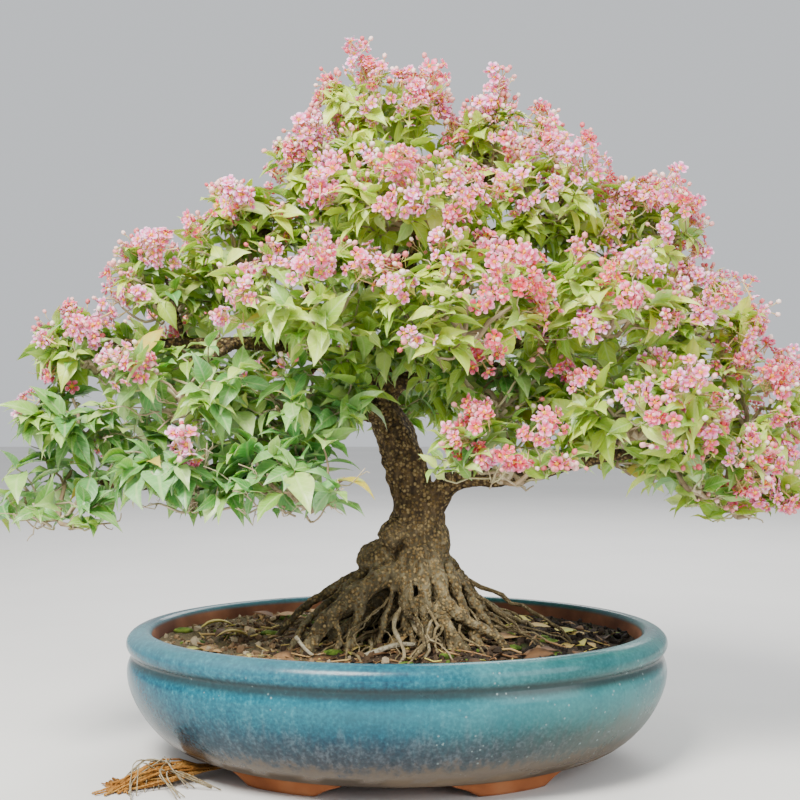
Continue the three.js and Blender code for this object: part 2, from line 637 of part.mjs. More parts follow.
// The faces of one pad with its leaves, spread over its mass. A leaf that would cross another piece is
// turned, or left out
function leafyFaces(pad, random, obstacles) {
  const faces = coreFaces(pad);
  const core = solidOfFaces(faces);
  const leaves = [];
  const grown = new Map();
  for (let i = 0; i < faces.length && leaves.length < pad.leafCount; i++) {
    const index = (i * GROWN_LEAF.faceStep) % faces.length;
    const face = faces[index];
    const middle = face[0].clone().add(face[1]).add(face[2]).divideScalar(3);
    const out = middle.sub(vector(pad.centre)).divide(vector(innerSizes(pad))).normalize();
    const flat = new THREE.Triangle(...face).getNormal(new THREE.Vector3());
    for (let turn = 0; turn < LEAF.turns; turn++) {
      const way = out.clone().add(jitter(random, 0.5 + 0.2 * turn));
      way.z = 0.6 * way.z + 0.04;
      way.normalize();
      const length = pad.leafLength * (0.74 + 0.3 * random());
      const wave = 4 * (random() - 0.5);
      if (way.dot(flat) < GROWN_LEAF.steepest) continue;
      const points = grownLeaf(face, way, length, wave);
      const withGap = hullOf(grownLeaf(face, way, length, wave, GAP));
      if (meets(withGap, obstacles) || meets(hullOf(points), [core, ...leaves])) continue;
      leaves.push(hullOf(points));
      grown.set(index, hullFaces(points));
      break;
    }
  }
  return faces.flatMap((face, i) => grown.get(i) ?? [face]);
}

// Every foliage pad, clear of the wood, the shoots and the other pads
function makeFoliage(random, wood, woodWithGap, shoots) {
  const foliage = new Map(PADS.map((pad) => [pad.name, cleared(coreOf(pad), pad, woodWithGap)]));
  PADS.forEach((pad) => {
    const others = [...foliage].filter(([name]) => name !== pad.name).map(([, solid]) => solid);
    const leafy = solidOfFaces(leafyFaces(pad, random, [wood, ...shoots, ...others]));
    foliage.set(pad.name, cleared(leafy, pad, woodWithGap));
  });
  return foliage;
}

// A fallen leaf, lowered until it lies on the soil
function makeFallenLeaf([x, y, heading, length], ground) {
  const turn = new THREE.Matrix4().makeRotationZ(radians(heading));
  const tilt = new THREE.Matrix4().makeRotationY(-radians(9));
  const lying = leaf(length, 2).transform(turn.multiply(tilt).elements);
  let height = SOIL_EDGE + 30;
  while (!meets(lying.translate([x, y, height - 0.1]), [ground])) height -= 0.1;
  return lying.translate([x, y, height + GAP - 0.2]);
}

const wood = makeWood(0);
const woodWithGap = makeWood(GAP);
const pot = makePot();
const soil = makeSoil(woodWithGap);
const escapedRoots = joined(ESCAPED_ROOTS.map(({ points, sides }) => tube(points, sides)));

const random = makeRandom(SEED);
const shoots = makeShoots(random, woodWithGap);
const foliage = makeFoliage(random, wood, woodWithGap, shoots);

const bonsai = new THREE.Group();
bonsai.add(meshOf("pot", pot, COLOURS.glaze));
bonsai.add(meshOf("soil", soil, COLOURS.soil));
bonsai.add(meshOf("trunk", wood, COLOURS.bark));
bonsai.add(meshOf("escaped_roots", escapedRoots, COLOURS.root));
FALLEN_LEAVES.forEach((place, i) => {
  bonsai.add(meshOf(`fallen_leaf_${i + 1}`, makeFallenLeaf(place, soil), COLOURS.fallen));
});
foliage.forEach((solid, name) => bonsai.add(meshOf(`leaves_${name}`, solid, COLOURS.leaf)));
shoots.forEach((solid, i) => {
  bonsai.add(meshOf(`flowers_${String(i + 1).padStart(2, "0")}`, solid, COLOURS.petal));
});

const box = new THREE.Box3().setFromObject(bonsai);
bonsai.position.set(-(box.min.x + box.max.x) / 2, -(box.min.y + box.max.y) / 2, 0);

export default bonsai;
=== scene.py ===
"""The looks of a flowering Barbados cherry bonsai, in metres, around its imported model."""

import math

import bmesh
import bpy
import numpy as np
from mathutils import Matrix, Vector, noise


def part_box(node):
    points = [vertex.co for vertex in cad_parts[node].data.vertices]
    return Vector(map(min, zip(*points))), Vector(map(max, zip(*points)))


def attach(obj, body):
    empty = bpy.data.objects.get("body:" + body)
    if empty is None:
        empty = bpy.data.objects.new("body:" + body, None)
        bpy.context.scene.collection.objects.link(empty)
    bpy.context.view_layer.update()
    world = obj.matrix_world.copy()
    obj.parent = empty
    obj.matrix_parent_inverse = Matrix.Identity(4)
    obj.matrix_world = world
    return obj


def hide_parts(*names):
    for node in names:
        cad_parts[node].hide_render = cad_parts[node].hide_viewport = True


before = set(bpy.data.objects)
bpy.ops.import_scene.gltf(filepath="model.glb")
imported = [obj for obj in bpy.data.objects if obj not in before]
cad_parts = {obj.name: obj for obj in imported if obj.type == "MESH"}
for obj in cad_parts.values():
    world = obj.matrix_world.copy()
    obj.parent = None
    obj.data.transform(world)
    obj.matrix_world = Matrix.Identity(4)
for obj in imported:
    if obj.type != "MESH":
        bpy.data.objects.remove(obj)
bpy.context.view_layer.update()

MM = 0.001
UP = np.array([0, 0, 1.0])
GOLDEN_ANGLE = math.pi * (3 - math.sqrt(5))

# Edges that turn more than this many degrees stay sharp
POT_CREASE = 40
LEAF_CREASE = 62

# Places taken from the frame
pot_low, pot_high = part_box("pot")
pot_middle = (pot_low + pot_high) / 2
POT_CENTRE = np.array([pot_middle.x, pot_middle.y, 0.0])
POT_DEPTH_SHARE = (pot_high.y - pot_low.y) / (pot_high.x - pot_low.x)

# Heights of the glaze's lower edge, of the groove under the rim and of the soil at the rim
GLAZE_FROM = 0.0235
GROOVE_HEIGHT = 0.1036
SOIL_EDGE = 0.112
SOIL_HALF_LENGTH = 0.2318

# The trunk's foot and the middle of the crown, from the pot's middle
TRUNK_X, TRUNK_Y = 0.016, 0.010
TRUNK_FOOT = POT_CENTRE + np.array([TRUNK_X, TRUNK_Y, 0.0])
CROWN_MIDDLE = POT_CENTRE + np.array([0.0, 0.02, 0.36])

# How many of each small thing there are
CRUMB_COUNT = 2700
STRAW_SPOTS = 330
DRY_LEAF_COUNT = 90
MOSS_COUNT = 26
GROWN_ROOT_COUNT = 26
SURFACE_ROOT_COUNT = 90
FIBRE_COUNT = 210
ROOTLET_COUNT = 22

# Where each piece's random draws start, so that a change of one leaves the others as they are
SEEDS = {
    "crumbs": 11, "litter": 12, "moss": 13, "trunk": 20, "surface_roots": 21, "escaped_roots": 22,
    "sprays": 40, "mass": 100, "shoot": 300,
}

# The photograph's camera: distance in front of the pot's middle, height, tilt down and frame
CAMERA_DISTANCE = 1.300
CAMERA_HEIGHT = 0.354
CAMERA_ASIDE = 0.0029
CAMERA_TILT = math.radians(0.45)
CAMERA_LENS = 60.5

# Foliage masses: share in bloom, leaf length, how mature its leaves are, how deep its flowers' pink is
# (partly their own coral colour and partly painted shade, highest in the low and inner masses on the
# right), and how many branchlets it has
MASSES = {
    "apex": (1.00, 0.026, 0.10, 0.22, 7),
    "crown_left": (0.75, 0.028, 0.18, 0.20, 7),
    "crown_right": (1.00, 0.026, 0.08, 0.22, 7),
    "crown_front": (0.90, 0.028, 0.12, 0.26, 7),
    "crown_back": (0.70, 0.030, 0.22, 0.30, 7),
    "shoulder_right": (0.95, 0.027, 0.08, 0.32, 7),
    "high_right": (0.90, 0.028, 0.10, 0.32, 7),
    "high_left": (0.55, 0.031, 0.25, 0.18, 7),
    "outer_left": (0.75, 0.032, 0.32, 0.20, 6),
    "edge_left": (0.40, 0.035, 0.50, 0.22, 6),
    "front_left": (0.55, 0.033, 0.34, 0.34, 7),
    "front_right": (0.80, 0.031, 0.18, 0.42, 7),
    "mid_right": (0.65, 0.032, 0.16, 0.50, 7),
    "outer_right": (1.00, 0.028, 0.10, 0.42, 7),
    "edge_right": (1.00, 0.030, 0.18, 0.52, 6),
    "low_right": (0.70, 0.033, 0.24, 0.60, 7),
    "tip_right": (0.90, 0.035, 0.34, 0.62, 6),
    "inner_right": (0.50, 0.036, 0.45, 0.85, 6),
    "fork_right": (0.30, 0.034, 0.45, 0.80, 6),
    "reach_right": (0.60, 0.036, 0.36, 0.72, 6),
    "side_left": (0.12, 0.037, 0.62, 0.28, 7),
    "tip_left": (0.03, 0.042, 0.80, 0.30, 6),
    "low_left": (0.03, 0.043, 0.88, 0.30, 6),
    "inner_left": (0.03, 0.043, 0.85, 0.50, 6),
    "under_left": (0.10, 0.036, 0.62, 0.40, 7),
    "edge_low_left": (0.12, 0.038, 0.66, 0.28, 6),
    "back_left": (0.45, 0.034, 0.42, 0.30, 7),
    "back_right": (0.65, 0.033, 0.30, 0.40, 7),
    "back_low": (0.40, 0.036, 0.50, 0.40, 7),
    "rear_low_left": (0.10, 0.039, 0.70, 0.32, 6),
    "rear_low_right": (0.45, 0.036, 0.45, 0.58, 6),
}


def draws(name, number=0):
    """A random stream of its own for each piece."""
    return np.random.default_rng(SEEDS[name] + number)


def deselect_all():
    if bpy.context.mode != "OBJECT":
        bpy.ops.object.mode_set(mode="OBJECT")
    bpy.ops.object.select_all(action="DESELECT")


def make_active(piece):
    deselect_all()
    piece.select_set(True)
    bpy.context.view_layer.objects.active = piece


def new_object(name, data):
    """A new object, linked to the scene."""
    made = bpy.data.objects.new(name, data)
    bpy.context.scene.collection.objects.link(made)
    return made


def join_to(piece, others):
    """Makes the others a part of the piece."""
    make_active(piece)
    for other in others:
        other.select_set(True)
    bpy.ops.object.join()


def begin(name):
    """The primitive just added, named, in edit mode with nothing selected."""
    piece = bpy.context.active_object
    piece.name = name
    piece.data.name = name
    bpy.ops.object.mode_set(mode="EDIT")
    bpy.ops.mesh.select_all(action="DESELECT")
    return piece


def select_all():
    bpy.ops.mesh.select_all(action="SELECT")


def face_outward():
    """In edit mode, selects everything and turns its faces outward."""
    select_all()
    bpy.ops.mesh.normals_make_consistent(inside=False)


def select_points(piece, test):
    """In edit mode, selects the points whose place passes the test."""
    shape = bmesh.from_edit_mesh(piece.data)
    shape.select_mode = {"VERT"}
    for point in shape.verts:
        point.select_set(bool(test(point.co)))
    shape.select_flush_mode()
    bmesh.update_edit_mesh(piece.data)


def leave_edit(piece):
    bpy.ops.object.mode_set(mode="OBJECT")
    piece.select_set(False)
    return piece


def add_modifier(piece, kind, **values):
    modifier = piece.modifiers.new(kind.title(), kind)
    for key, value in values.items():
        setattr(modifier, key, value)
    make_active(piece)
    bpy.ops.object.modifier_apply(modifier=modifier.name)
    deselect_all()


def smooth(piece, degrees=None):
    make_active(piece)
    if degrees is None:
        bpy.ops.object.shade_smooth()
    else:
        bpy.ops.object.shade_smooth_by_angle(angle=math.radians(degrees))
    deselect_all()


def dress(piece, material, slot, *nodes):
    """Gives a finished piece its material and its body, and hides the nodes that it stands for. The slot is
    not used.
    """
    piece.data.materials.clear()
    piece.data.materials.append(material)
    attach(piece, "root")
    if nodes:
        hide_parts(*nodes)
    return piece


def triples_of(items, key):
    """Three numbers of each item, as rows."""
    values = np.zeros(len(items) * 3)
    items.foreach_get(key, values)
    return values.reshape(-1, 3)


def points_of(piece):
    return triples_of(piece.data.vertices, "co")


def set_points(piece, places):
    piece.data.vertices.foreach_set("co", places.astype(np.float32).ravel())
    piece.data.update()


class Shape:
    """Points and faces as arrays, with a value or pair of values for each point."""

    def __init__(self, points, corners, sizes, **values):
        self.points = np.asarray(points, float)
        self.corners = np.asarray(corners, np.int64)
        self.sizes = np.asarray(sizes, np.int64)
        self.values = {key: np.asarray(value, float) for key, value in values.items()}


def shape_of(piece, **values):
    """A modelled piece as a shape that can be copied many times. The piece itself is removed."""
    mesh = piece.data
    corners = np.zeros(len(mesh.loops), np.int64)
    mesh.loops.foreach_get("vertex_index", corners)
    sizes = np.zeros(len(mesh.polygons), np.int64)
    mesh.polygons.foreach_get("loop_total", sizes)
    shape = Shape(points_of(piece), corners, sizes, **values)
    bpy.data.objects.remove(piece)
    return shape


def together(shapes):
    """Several shapes as one."""
    offsets = np.cumsum([0] + [len(shape.points) for shape in shapes[:-1]])
    corners = [shape.corners + offset for shape, offset in zip(shapes, offsets)]
    values = {
        key: np.concatenate([shape.values[key] for shape in shapes]) for key in shapes[0].values
    }
    return Shape(
        np.concatenate([shape.points for shape in shapes]),
        np.concatenate(corners),
        np.concatenate([shape.sizes for shape in shapes]),
        **values,
    )


def copies(shape, turns, sizes, places, bend=None, **each):
    """Copies of a shape, each bent, sized or stretched, turned and placed, with its own values."""
    count = len(places)
    local = np.repeat(shape.points[None], count, axis=0)
    if bend is not None:
        local = bend(local)
    local = local * np.asarray(sizes, float).reshape(count, 1, -1)
    points = np.einsum("nij,npj->npi", turns, local) + np.asarray(places)[:, None, :]
    offsets = np.arange(count)[:, None] * len(shape.points)
    values = {
        key: np.tile(value, (count,) + (1,) * (value.ndim - 1)) for key, value in shape.values.items()
    }
    for key, value in each.items():
        values[key] = np.repeat(np.asarray(value, float), len(shape.points))
    return Shape(
        points.reshape(-1, 3),
        (shape.corners[None] + offsets).ravel(),
        np.tile(shape.sizes, count),
        **values,
    )


def piece_of(name, shape, is_smooth=True, sharp_from=None):
    """An object made of a shape. A pair of values becomes a UV map, a single one an attribute."""
    mesh = bpy.data.meshes.new(name)
    mesh.vertices.add(len(shape.points))
    mesh.vertices.foreach_set("co", shape.points.astype(np.float32).ravel())
    mesh.loops.add(len(shape.corners))
    mesh.loops.foreach_set("vertex_index", shape.corners.astype(np.int32))
    mesh.polygons.add(len(shape.sizes))
    starts = np.concatenate([[0], np.cumsum(shape.sizes)[:-1]])
    mesh.polygons.foreach_set("loop_start", starts.astype(np.int32))
    mesh.polygons.foreach_set("use_smooth", np.full(len(shape.sizes), is_smooth))
    mesh.update(calc_edges=True)
    for key, value in shape.values.items():
        if value.ndim == 2:
            layer = mesh.uv_layers.new(name=key)
            layer.data.foreach_set("uv", value[shape.corners].astype(np.float32).ravel())
        else:
            mesh.attributes.new(key, "FLOAT", "POINT").data.foreach_set("value", value.astype(np.float32))
    if sharp_from is not None:
        mesh.set_sharp_from_angle(angle=math.radians(sharp_from))
    return new_object(name, mesh)


def unit(vectors):
    vectors = np.asarray(vectors, float)
    return vectors / np.maximum(np.linalg.norm(vectors, axis=-1, keepdims=True), 1e-9)


def level_way(heading, rise=0.0):
    """The direction of a heading, level or rising a little."""
    return np.array([math.cos(heading), math.sin(heading), rise])


def turns_along(ways, ups):
    """Matrices that turn +X to each way, with +Z as near as can be to each up."""
    x = unit(ways)
    y = unit(np.cross(ups, x))
    z = np.cross(x, y)
    return np.stack([x, y, z], axis=-1)


def turns_up(ways, random):
    """Matrices that turn +Z to each way, at random round it."""
    z = unit(ways)
    x = unit(np.cross(random.normal(size=z.shape), z))
    return np.stack([x, np.cross(z, x), z], axis=-1)


def even_ways(count):
    """Directions spread evenly over a ball."""
    steps = np.arange(count) + 0.5
    height = 1 - 2 * steps / count
    level = np.sqrt(1 - height**2)
    return np.stack(
        [level * np.cos(steps * GOLDEN_ANGLE), level * np.sin(steps * GOLDEN_ANGLE), height], axis=1
    )


def tube(points, radii, sides=5, **values):
    """A closed tube through points, as a shape, with the same values at all its points."""
    points = np.asarray(points, float)
    radii = np.broadcast_to(radii, len(points))
    along = unit(np.gradient(points, axis=0))
    across = np.cross(along[0], [0.31, 0.17, 0.93])
    rings = []
    for k in range(len(points)):
        across = unit(across - along[k] * np.dot(across, along[k]))
        side = np.cross(along[k], across)
        angle = np.arange(sides) * 2 * math.pi / sides
        ring = np.cos(angle)[:, None] * across + np.sin(angle)[:, None] * side
        rings.append(points[k] + ring * radii[k])
    corners, sizes = [], []
    for k in range(len(points) - 1):
        for i in range(sides):
            a, b = k * sides + i, k * sides + (i + 1) % sides
            corners += [a, b, b + sides, a + sides]
            sizes.append(4)
    last = (len(points) - 1) * sides
    corners += list(range(sides - 1, -1, -1)) + list(range(last, last + sides))
    sizes += [sides, sides]
    count = len(points) * sides
    each = {key: np.full(count, value) for key, value in values.items()}
    return Shape(np.concatenate(rings), corners, sizes, **each)


def resample(points, count):
    """A smooth line through points, as that many points."""
    points = np.asarray(points, float)
    ends = [2 * points[0] - points[1], *points, 2 * points[-1] - points[-2]]
    found = []
    for t in np.linspace(0, len(points) - 1 - 1e-6, count):
        k, u = int(t), t - int(t)
        a, b, c, d = ends[k : k + 4]
        curve = 2 * b + (c - a) * u + (2 * a - 5 * b + 4 * c - d) * u**2 + (3 * b - a - 3 * c + d) * u**3
        found.append(0.5 * curve)
    return np.array(found)


def crooked(start, end, random, kink, count):
    """A twig's line from start to end, that wanders aside at a few kinks, and sags or arches a little."""
    kinks = 5
    sag = random.uniform(-0.004, 0.004)
    share = np.linspace(0, 1, kinks)[:, None]
    line = np.asarray(start) * (1 - share) + np.asarray(end) * share
    aside = random.normal(size=(kinks, 3)) * kink
    aside[0] = aside[-1] = 0
    line += aside
    line[:, 2] -= sag * (4 * share[:, 0] * (1 - share[:, 0]))
    return resample(line, count)


# Materials


class Value:
    """A node's output, which can be added, subtracted and multiplied as numbers are."""

    def __init__(self, nodes, socket):
        self.nodes, self.socket = nodes, socket

    def __add__(self, other):
        return self.nodes.math("ADD", self, other)

    def __sub__(self, other):
        return self.nodes.math("SUBTRACT", self, other)

    def __rsub__(self, other):
        return self.nodes.math("SUBTRACT", other, self)

    def __mul__(self, other):
        return self.nodes.math("MULTIPLY", self, other)


class Nodes:
    """A short way to write a node tree."""

    def __init__(self, tree):
        self.tree = tree

    def join(self, value, socket):
        if isinstance(value, Value):
            self.tree.links.new(value.socket, socket)
        elif socket.type == "RGBA":
            socket.default_value = (*value, 1)
        else:
            socket.default_value = value

    def add(self, kind, settings=None, **inputs):
        node = self.tree.nodes.new(kind)
        for key, value in (settings or {}).items():
            setattr(node, key, value)
        for key, value in inputs.items():
            self.join(value, node.inputs[key.replace("_", " ")])
        return node

    def out(self, node, key=0):
        return Value(self, node.outputs[key])

    def outs(self, node):
        return [Value(self, output) for output in node.outputs]

    def math(self, operation, a, b=0.0, clamp=False):
        node = self.add("ShaderNodeMath", {"operation": operation, "use_clamp": clamp})
        self.join(a, node.inputs[0])
        self.join(b, node.inputs[1])
        return self.out(node)

    def mask(self, value, low, high):
        """0 at low and 1 at high, eased at both ends."""
        eased = {"interpolation_type": "SMOOTHSTEP"}
        return self.out(self.add("ShaderNodeMapRange", eased, Value=value, From_Min=low, From_Max=high))

    def mix(self, share, a, b):
        """The colour a, or b as far as the share goes."""
        node = self.add("ShaderNodeMix", {"data_type": "RGBA"})
        for value, number in ((share, 0), (a, 6), (b, 7)):
            self.join(value, node.inputs[number])
        return self.out(node, 2)

    def ramp(self, value, *stops):
        """Colours along a value, from stops of a place and a colour."""
        node = self.add("ShaderNodeValToRGB")
        elements = node.color_ramp.elements
        while len(elements) < len(stops):
            elements.new(0.5)
        for element, (place, colour) in zip(elements, stops):
            element.position = place
            element.color = (*colour, 1)
        self.join(value, node.inputs[0])
        return self.out(node)

    def noise(self, place, scale, detail=4.0, roughness=0.55):
        return self.out(self.add(
            "ShaderNodeTexNoise", Vector=place, Scale=scale, Detail=detail, Roughness=roughness
        ))

    def stretched(self, place, *scales):
        return self.out(self.add("ShaderNodeMapping", Vector=place, Scale=scales))

    def cells(self, place, scale, feature="F1"):
        node = self.add("ShaderNodeTexVoronoi", {"feature": feature}, Vector=place, Scale=scale)
        return self.out(node, "Distance")

    def attribute(self, name):
        return self.out(self.add("ShaderNodeAttribute", {"attribute_name": name}), "Fac")

    def place(self):
        return self.out(self.add("ShaderNodeTexCoord"), "Object")

    def parts(self, vector):
        return self.outs(self.add("ShaderNodeSeparateXYZ", Vector=vector))

    def group(self, name, **inputs):
        return self.outs(self.add("ShaderNodeGroup", {"node_tree": bpy.data.node_groups[name]}, **inputs))

    def grain(self, place, patch_scale, grit_scale):
        """The patches and the grit of a rough surface."""
        return self.group("surface_grain", Place=place, Patch_Scale=patch_scale, Grit_Scale=grit_scale)


class Finish(Nodes):
    """A material, whose constants go straight to its shader."""

    def __init__(self, name, **constants):
        self.material = bpy.data.materials.new(name)
        self.material.use_nodes = True
        super().__init__(self.material.node_tree)
        self.shader = self.tree.nodes["Principled BSDF"].inputs
        for key, value in constants.items():
            self.shader[key.replace("_", " ")].default_value = value

    def done(self, base, relief=None, strength=0.0, distance=0.0):
        """The material, with its colour joined and its relief as a bump."""
        self.join(base, self.shader["Base Color"])
        if relief is not None:
            bump = self.add("ShaderNodeBump", Height=relief, Strength=strength, Distance=distance)
            self.join(self.out(bump), self.shader["Normal"])
        return self.material


def new_group(name, scales, results):
    """A node group that takes a place and some scales, and gives values."""
    tree = bpy.data.node_groups.new(name, "ShaderNodeTree")
    tree.interface.new_socket("Place", in_out="INPUT", socket_type="NodeSocketVector")
    for label in scales:
        tree.interface.new_socket(label, in_out="INPUT", socket_type="NodeSocketFloat")
    for label in results:
        tree.interface.new_socket(label, in_out="OUTPUT", socket_type="NodeSocketFloat")
    made = Nodes(tree)
    return made, made.outs(tree.nodes.new("NodeGroupInput")), tree.nodes.new("NodeGroupOutput").inputs


def make_grain_group():
    """Grain that any rough surface has: a mask of patches, and a height of fine grit."""
    made, given, results = new_group("surface_grain", ("Patch Scale", "Grit Scale"), ("Patches", "Grit"))
    for number, detail in enumerate((5, 3)):
        grain = made.add("ShaderNodeTexNoise", Vector=given[0], Scale=given[number + 1], Detail=detail)
        made.join(made.out(grain), results[number])


def make_cork_group():
    """Pale corky grains: how much they cover, and how light each one is."""
    made, given, results = new_group("cork_grains", ("Scale",), ("Cover", "Tone"))
    cells = made.add("ShaderNodeTexVoronoi", Vector=given[0], Scale=given[1])
    tone = made.add("ShaderNodeSeparateColor", Color=made.out(cells, "Color"))
    made.join(made.mask(made.out(cells, "Distance"), 0.66, 0.28), results["Cover"])
    made.join(made.out(tone), results["Tone"])


def clay_colour(made, z, patches):
    """Orange clay on the feet, painted shade on the ledge above them, which lies under the pot's belly, and
    red brown walls inside.
    """
    feet = made.ramp(
        patches, (0.35, (0.16, 0.044, 0.014)), (0.5, (0.30, 0.098, 0.033)), (0.65, (0.40, 0.17, 0.07)),
    )
    # Painted shade: the ledge under the belly is made far darker than the same clay on the feet.
    shaded_ledge = made.ramp(patches, (0.4, (0.036, 0.029, 0.020)), (0.62, (0.105, 0.084, 0.056)))
    walls = made.ramp(patches, (0.38, (0.12, 0.045, 0.025)), (0.62, (0.36, 0.15, 0.08)))
    below = made.mix(made.mask(z, 0.0105, 0.0145) * 0.95, feet, shaded_ledge)
    return made.mix(made.attribute("inside"), below, walls)


def glaze_material():
    """Teal blue glaze, sea green to the right, thin and grey low down, over bare clay inside and below,
    with painted shade in the groove under the rim and painted highlights on the rim and the upper belly.
    """
    made = Finish("blue_glaze", Specular_IOR_Level=0.3)
    place = made.place()
    x, _, z = made.parts(place)
    patches, grit = made.grain(place, 14.0, 330.0)
    streaks = made.noise(made.stretched(place, 150, 150, 22), 1.0, 6.0, 0.62)
    clouds = made.noise(place, 7.0, 5.0, 0.6)
    runs = streaks * -0.040 + clouds * -0.020
    blue = made.ramp(
        clouds * 0.45 + (grit * 0.45 + streaks * 0.25) * 0.85,
        (0.36, (0.001, 0.026, 0.052)), (0.47, (0.002, 0.058, 0.098)), (0.56, (0.004, 0.102, 0.150)),
        (0.68, (0.040, 0.21, 0.26)),
    )
    sea = made.ramp(
        clouds + grit * 0.2,
        (0.42, (0.002, 0.034, 0.036)), (0.60, (0.008, 0.086, 0.078)), (0.76, (0.045, 0.16, 0.14)),
    )
    body = made.mix(made.mask(x, -0.03, 0.15) * 0.75, blue, sea)
    thin = made.ramp(
        streaks * 0.6 + grit * 0.4,
        (0.36, (0.010, 0.014, 0.019)), (0.50, (0.026, 0.030, 0.038)), (0.62, (0.070, 0.084, 0.100)),
    )
    thin = made.mix(made.mask(x, 0.04, 0.20) * 0.7, thin, (0.048, 0.058, 0.040))
    low = made.mask(z + runs, 0.058, 0.014) * (made.mask(x, -0.24, -0.06) * 0.38 + 0.62)
    body = made.mix(low * 0.9, body, thin)
    # Painted shade: a dark band in the groove under the rim, where the rim's underside shades the belly.
    groove_shade = (made.mask(z, GROOVE_HEIGHT - 0.0096, GROOVE_HEIGHT - 0.0021)
              * made.mask(z, GROOVE_HEIGHT + 0.0079, GROOVE_HEIGHT + 0.0019))
    body = made.mix(groove_shade * 0.85, body, (0.018, 0.030, 0.030))
    stain = made.mask(z + runs, 0.015, 0.000)
    body = made.mix(stain * 0.90, body, (0.080, 0.056, 0.034))
    # Painted highlight: a paler band on the upper belly's left, where the key light falls.
    lit = made.mask(z, 0.060, 0.088) * made.mask(z, 0.1005, 0.093) * made.mask(x, -0.24, -0.02)
    body = made.mix(lit * 0.30, body, (0.050, 0.22, 0.25))
    # Painted highlight: a paler top of the rim, strongest to the left, where the key light falls.
    rim_highlight = made.mask(z + streaks * 0.012, 0.112, 0.134) * (0.46 - made.mask(x, -0.16, 0.00) * 0.34)
    body = made.mix(rim_highlight, body, (0.115, 0.225, 0.255))
    worn = made.mask(made.cells(place, 130.0), 0.16, 0.10) * made.mask(clouds, 0.52, 0.62)
    body = made.mix(worn * 0.6, body, (0.24, 0.32, 0.32))
    clay = clay_colour(made, z, patches)
    bare = made.attribute("bare")
    gloss = made.ramp(patches, (0.3, (0.16,) * 3), (0.7, (0.34,) * 3))
    made.join(made.mix(bare, gloss, (0.85, 0.85, 0.85)), made.shader["Roughness"])
    return made.done(made.mix(bare, body, clay), streaks * 0.35 + grit * 0.20, 0.30, 0.0014)


def bark_material():
    """Dark brown bark closely set with ochre grains, olive tan on the foot and the roots."""
    made = Finish("cherry_bark", Specular_IOR_Level=0.25, Roughness=0.86)
    place = made.place()
    _, _, z = made.parts(place)
    patches, grit = made.grain(place, 30.0, 430.0)
    cover, tone = made.group("cork_grains", Place=place, Scale=300.0)
    ridges = made.noise(made.stretched(place, 150, 150, 52), 1.0, 6.0, 0.65)
    upper = made.ramp(
        ridges, (0.34, (0.014, 0.009, 0.005)), (0.50, (0.050, 0.032, 0.016)), (0.68, (0.13, 0.085, 0.042)),
    )
    lower = made.ramp(
        ridges * 0.6 + patches * 0.4,
        (0.36, (0.026, 0.020, 0.010)), (0.49, (0.105, 0.083, 0.044)), (0.62, (0.235, 0.20, 0.12)),
    )
    base = made.mix(made.mask(z + patches * 0.050, 0.275, 0.200), upper, lower)
    corky = made.ramp(
        tone * 0.6 + patches * 0.4,
        (0.20, (0.085, 0.050, 0.016)), (0.45, (0.20, 0.125, 0.044)), (0.75, (0.36, 0.26, 0.115)),
    )
    grains = cover * made.mask(grit, 0.30, 0.46)
    base = made.mix(grains * 0.90, base, corky)
    cracks = made.math("MULTIPLY", made.cells(place, 115.0, "DISTANCE_TO_EDGE"), 1.3, clamp=True)
    return made.done(base, (ridges + grains * 0.7) + (grit * 0.35 + cracks), 0.9, 0.0017)


def root_material():
    """Olive tan to ochre root skin, each root a little different, and orange fibres."""
    made = Finish("root_skin", Specular_IOR_Level=0.25, Roughness=0.82)
    place = made.place()
    patches, grit = made.grain(place, 70.0, 520.0)
    cover, tone = made.group("cork_grains", Place=place, Scale=420.0)
    shade = made.attribute("tint") * 0.45 + patches * 0.55
    base = made.ramp(
        shade, (0.24, (0.030, 0.021, 0.010)), (0.42, (0.12, 0.088, 0.040)), (0.58, (0.27, 0.21, 0.11)),
        (0.80, (0.42, 0.38, 0.28)),
    )
    corky = made.ramp(tone, (0.2, (0.14, 0.095, 0.042)), (0.8, (0.44, 0.34, 0.19)))
    grains = cover * made.mask(grit, 0.36, 0.52)
    base = made.mix(grains * 0.55, base, corky)
    fibres = made.ramp(
        shade, (0.25, (0.16, 0.055, 0.010)), (0.50, (0.36, 0.155, 0.028)), (0.72, (0.48, 0.27, 0.075)),
    )
    base = made.mix(made.attribute("fibre"), base, fibres)
    return made.done(base, patches + (grit + grains * 0.5), 0.9, 0.0013)


def twig_material():
    """Twigs from brown through pale tan to the green of new shoots."""
    made = Finish("twig_bark", Specular_IOR_Level=0.3, Roughness=0.7)
    patches, grit = made.grain(made.place(), 90.0, 900.0)
    base = made.ramp(
        made.attribute("tint") * 0.6 + patches * 0.4,
        (0.22, (0.11, 0.068, 0.034)), (0.40, (0.30, 0.215, 0.125)), (0.58, (0.52, 0.43, 0.29)),
        (0.85, (0.44, 0.46, 0.14)),
    )
    return made.done(base, grit, 0.5, 0.0004)


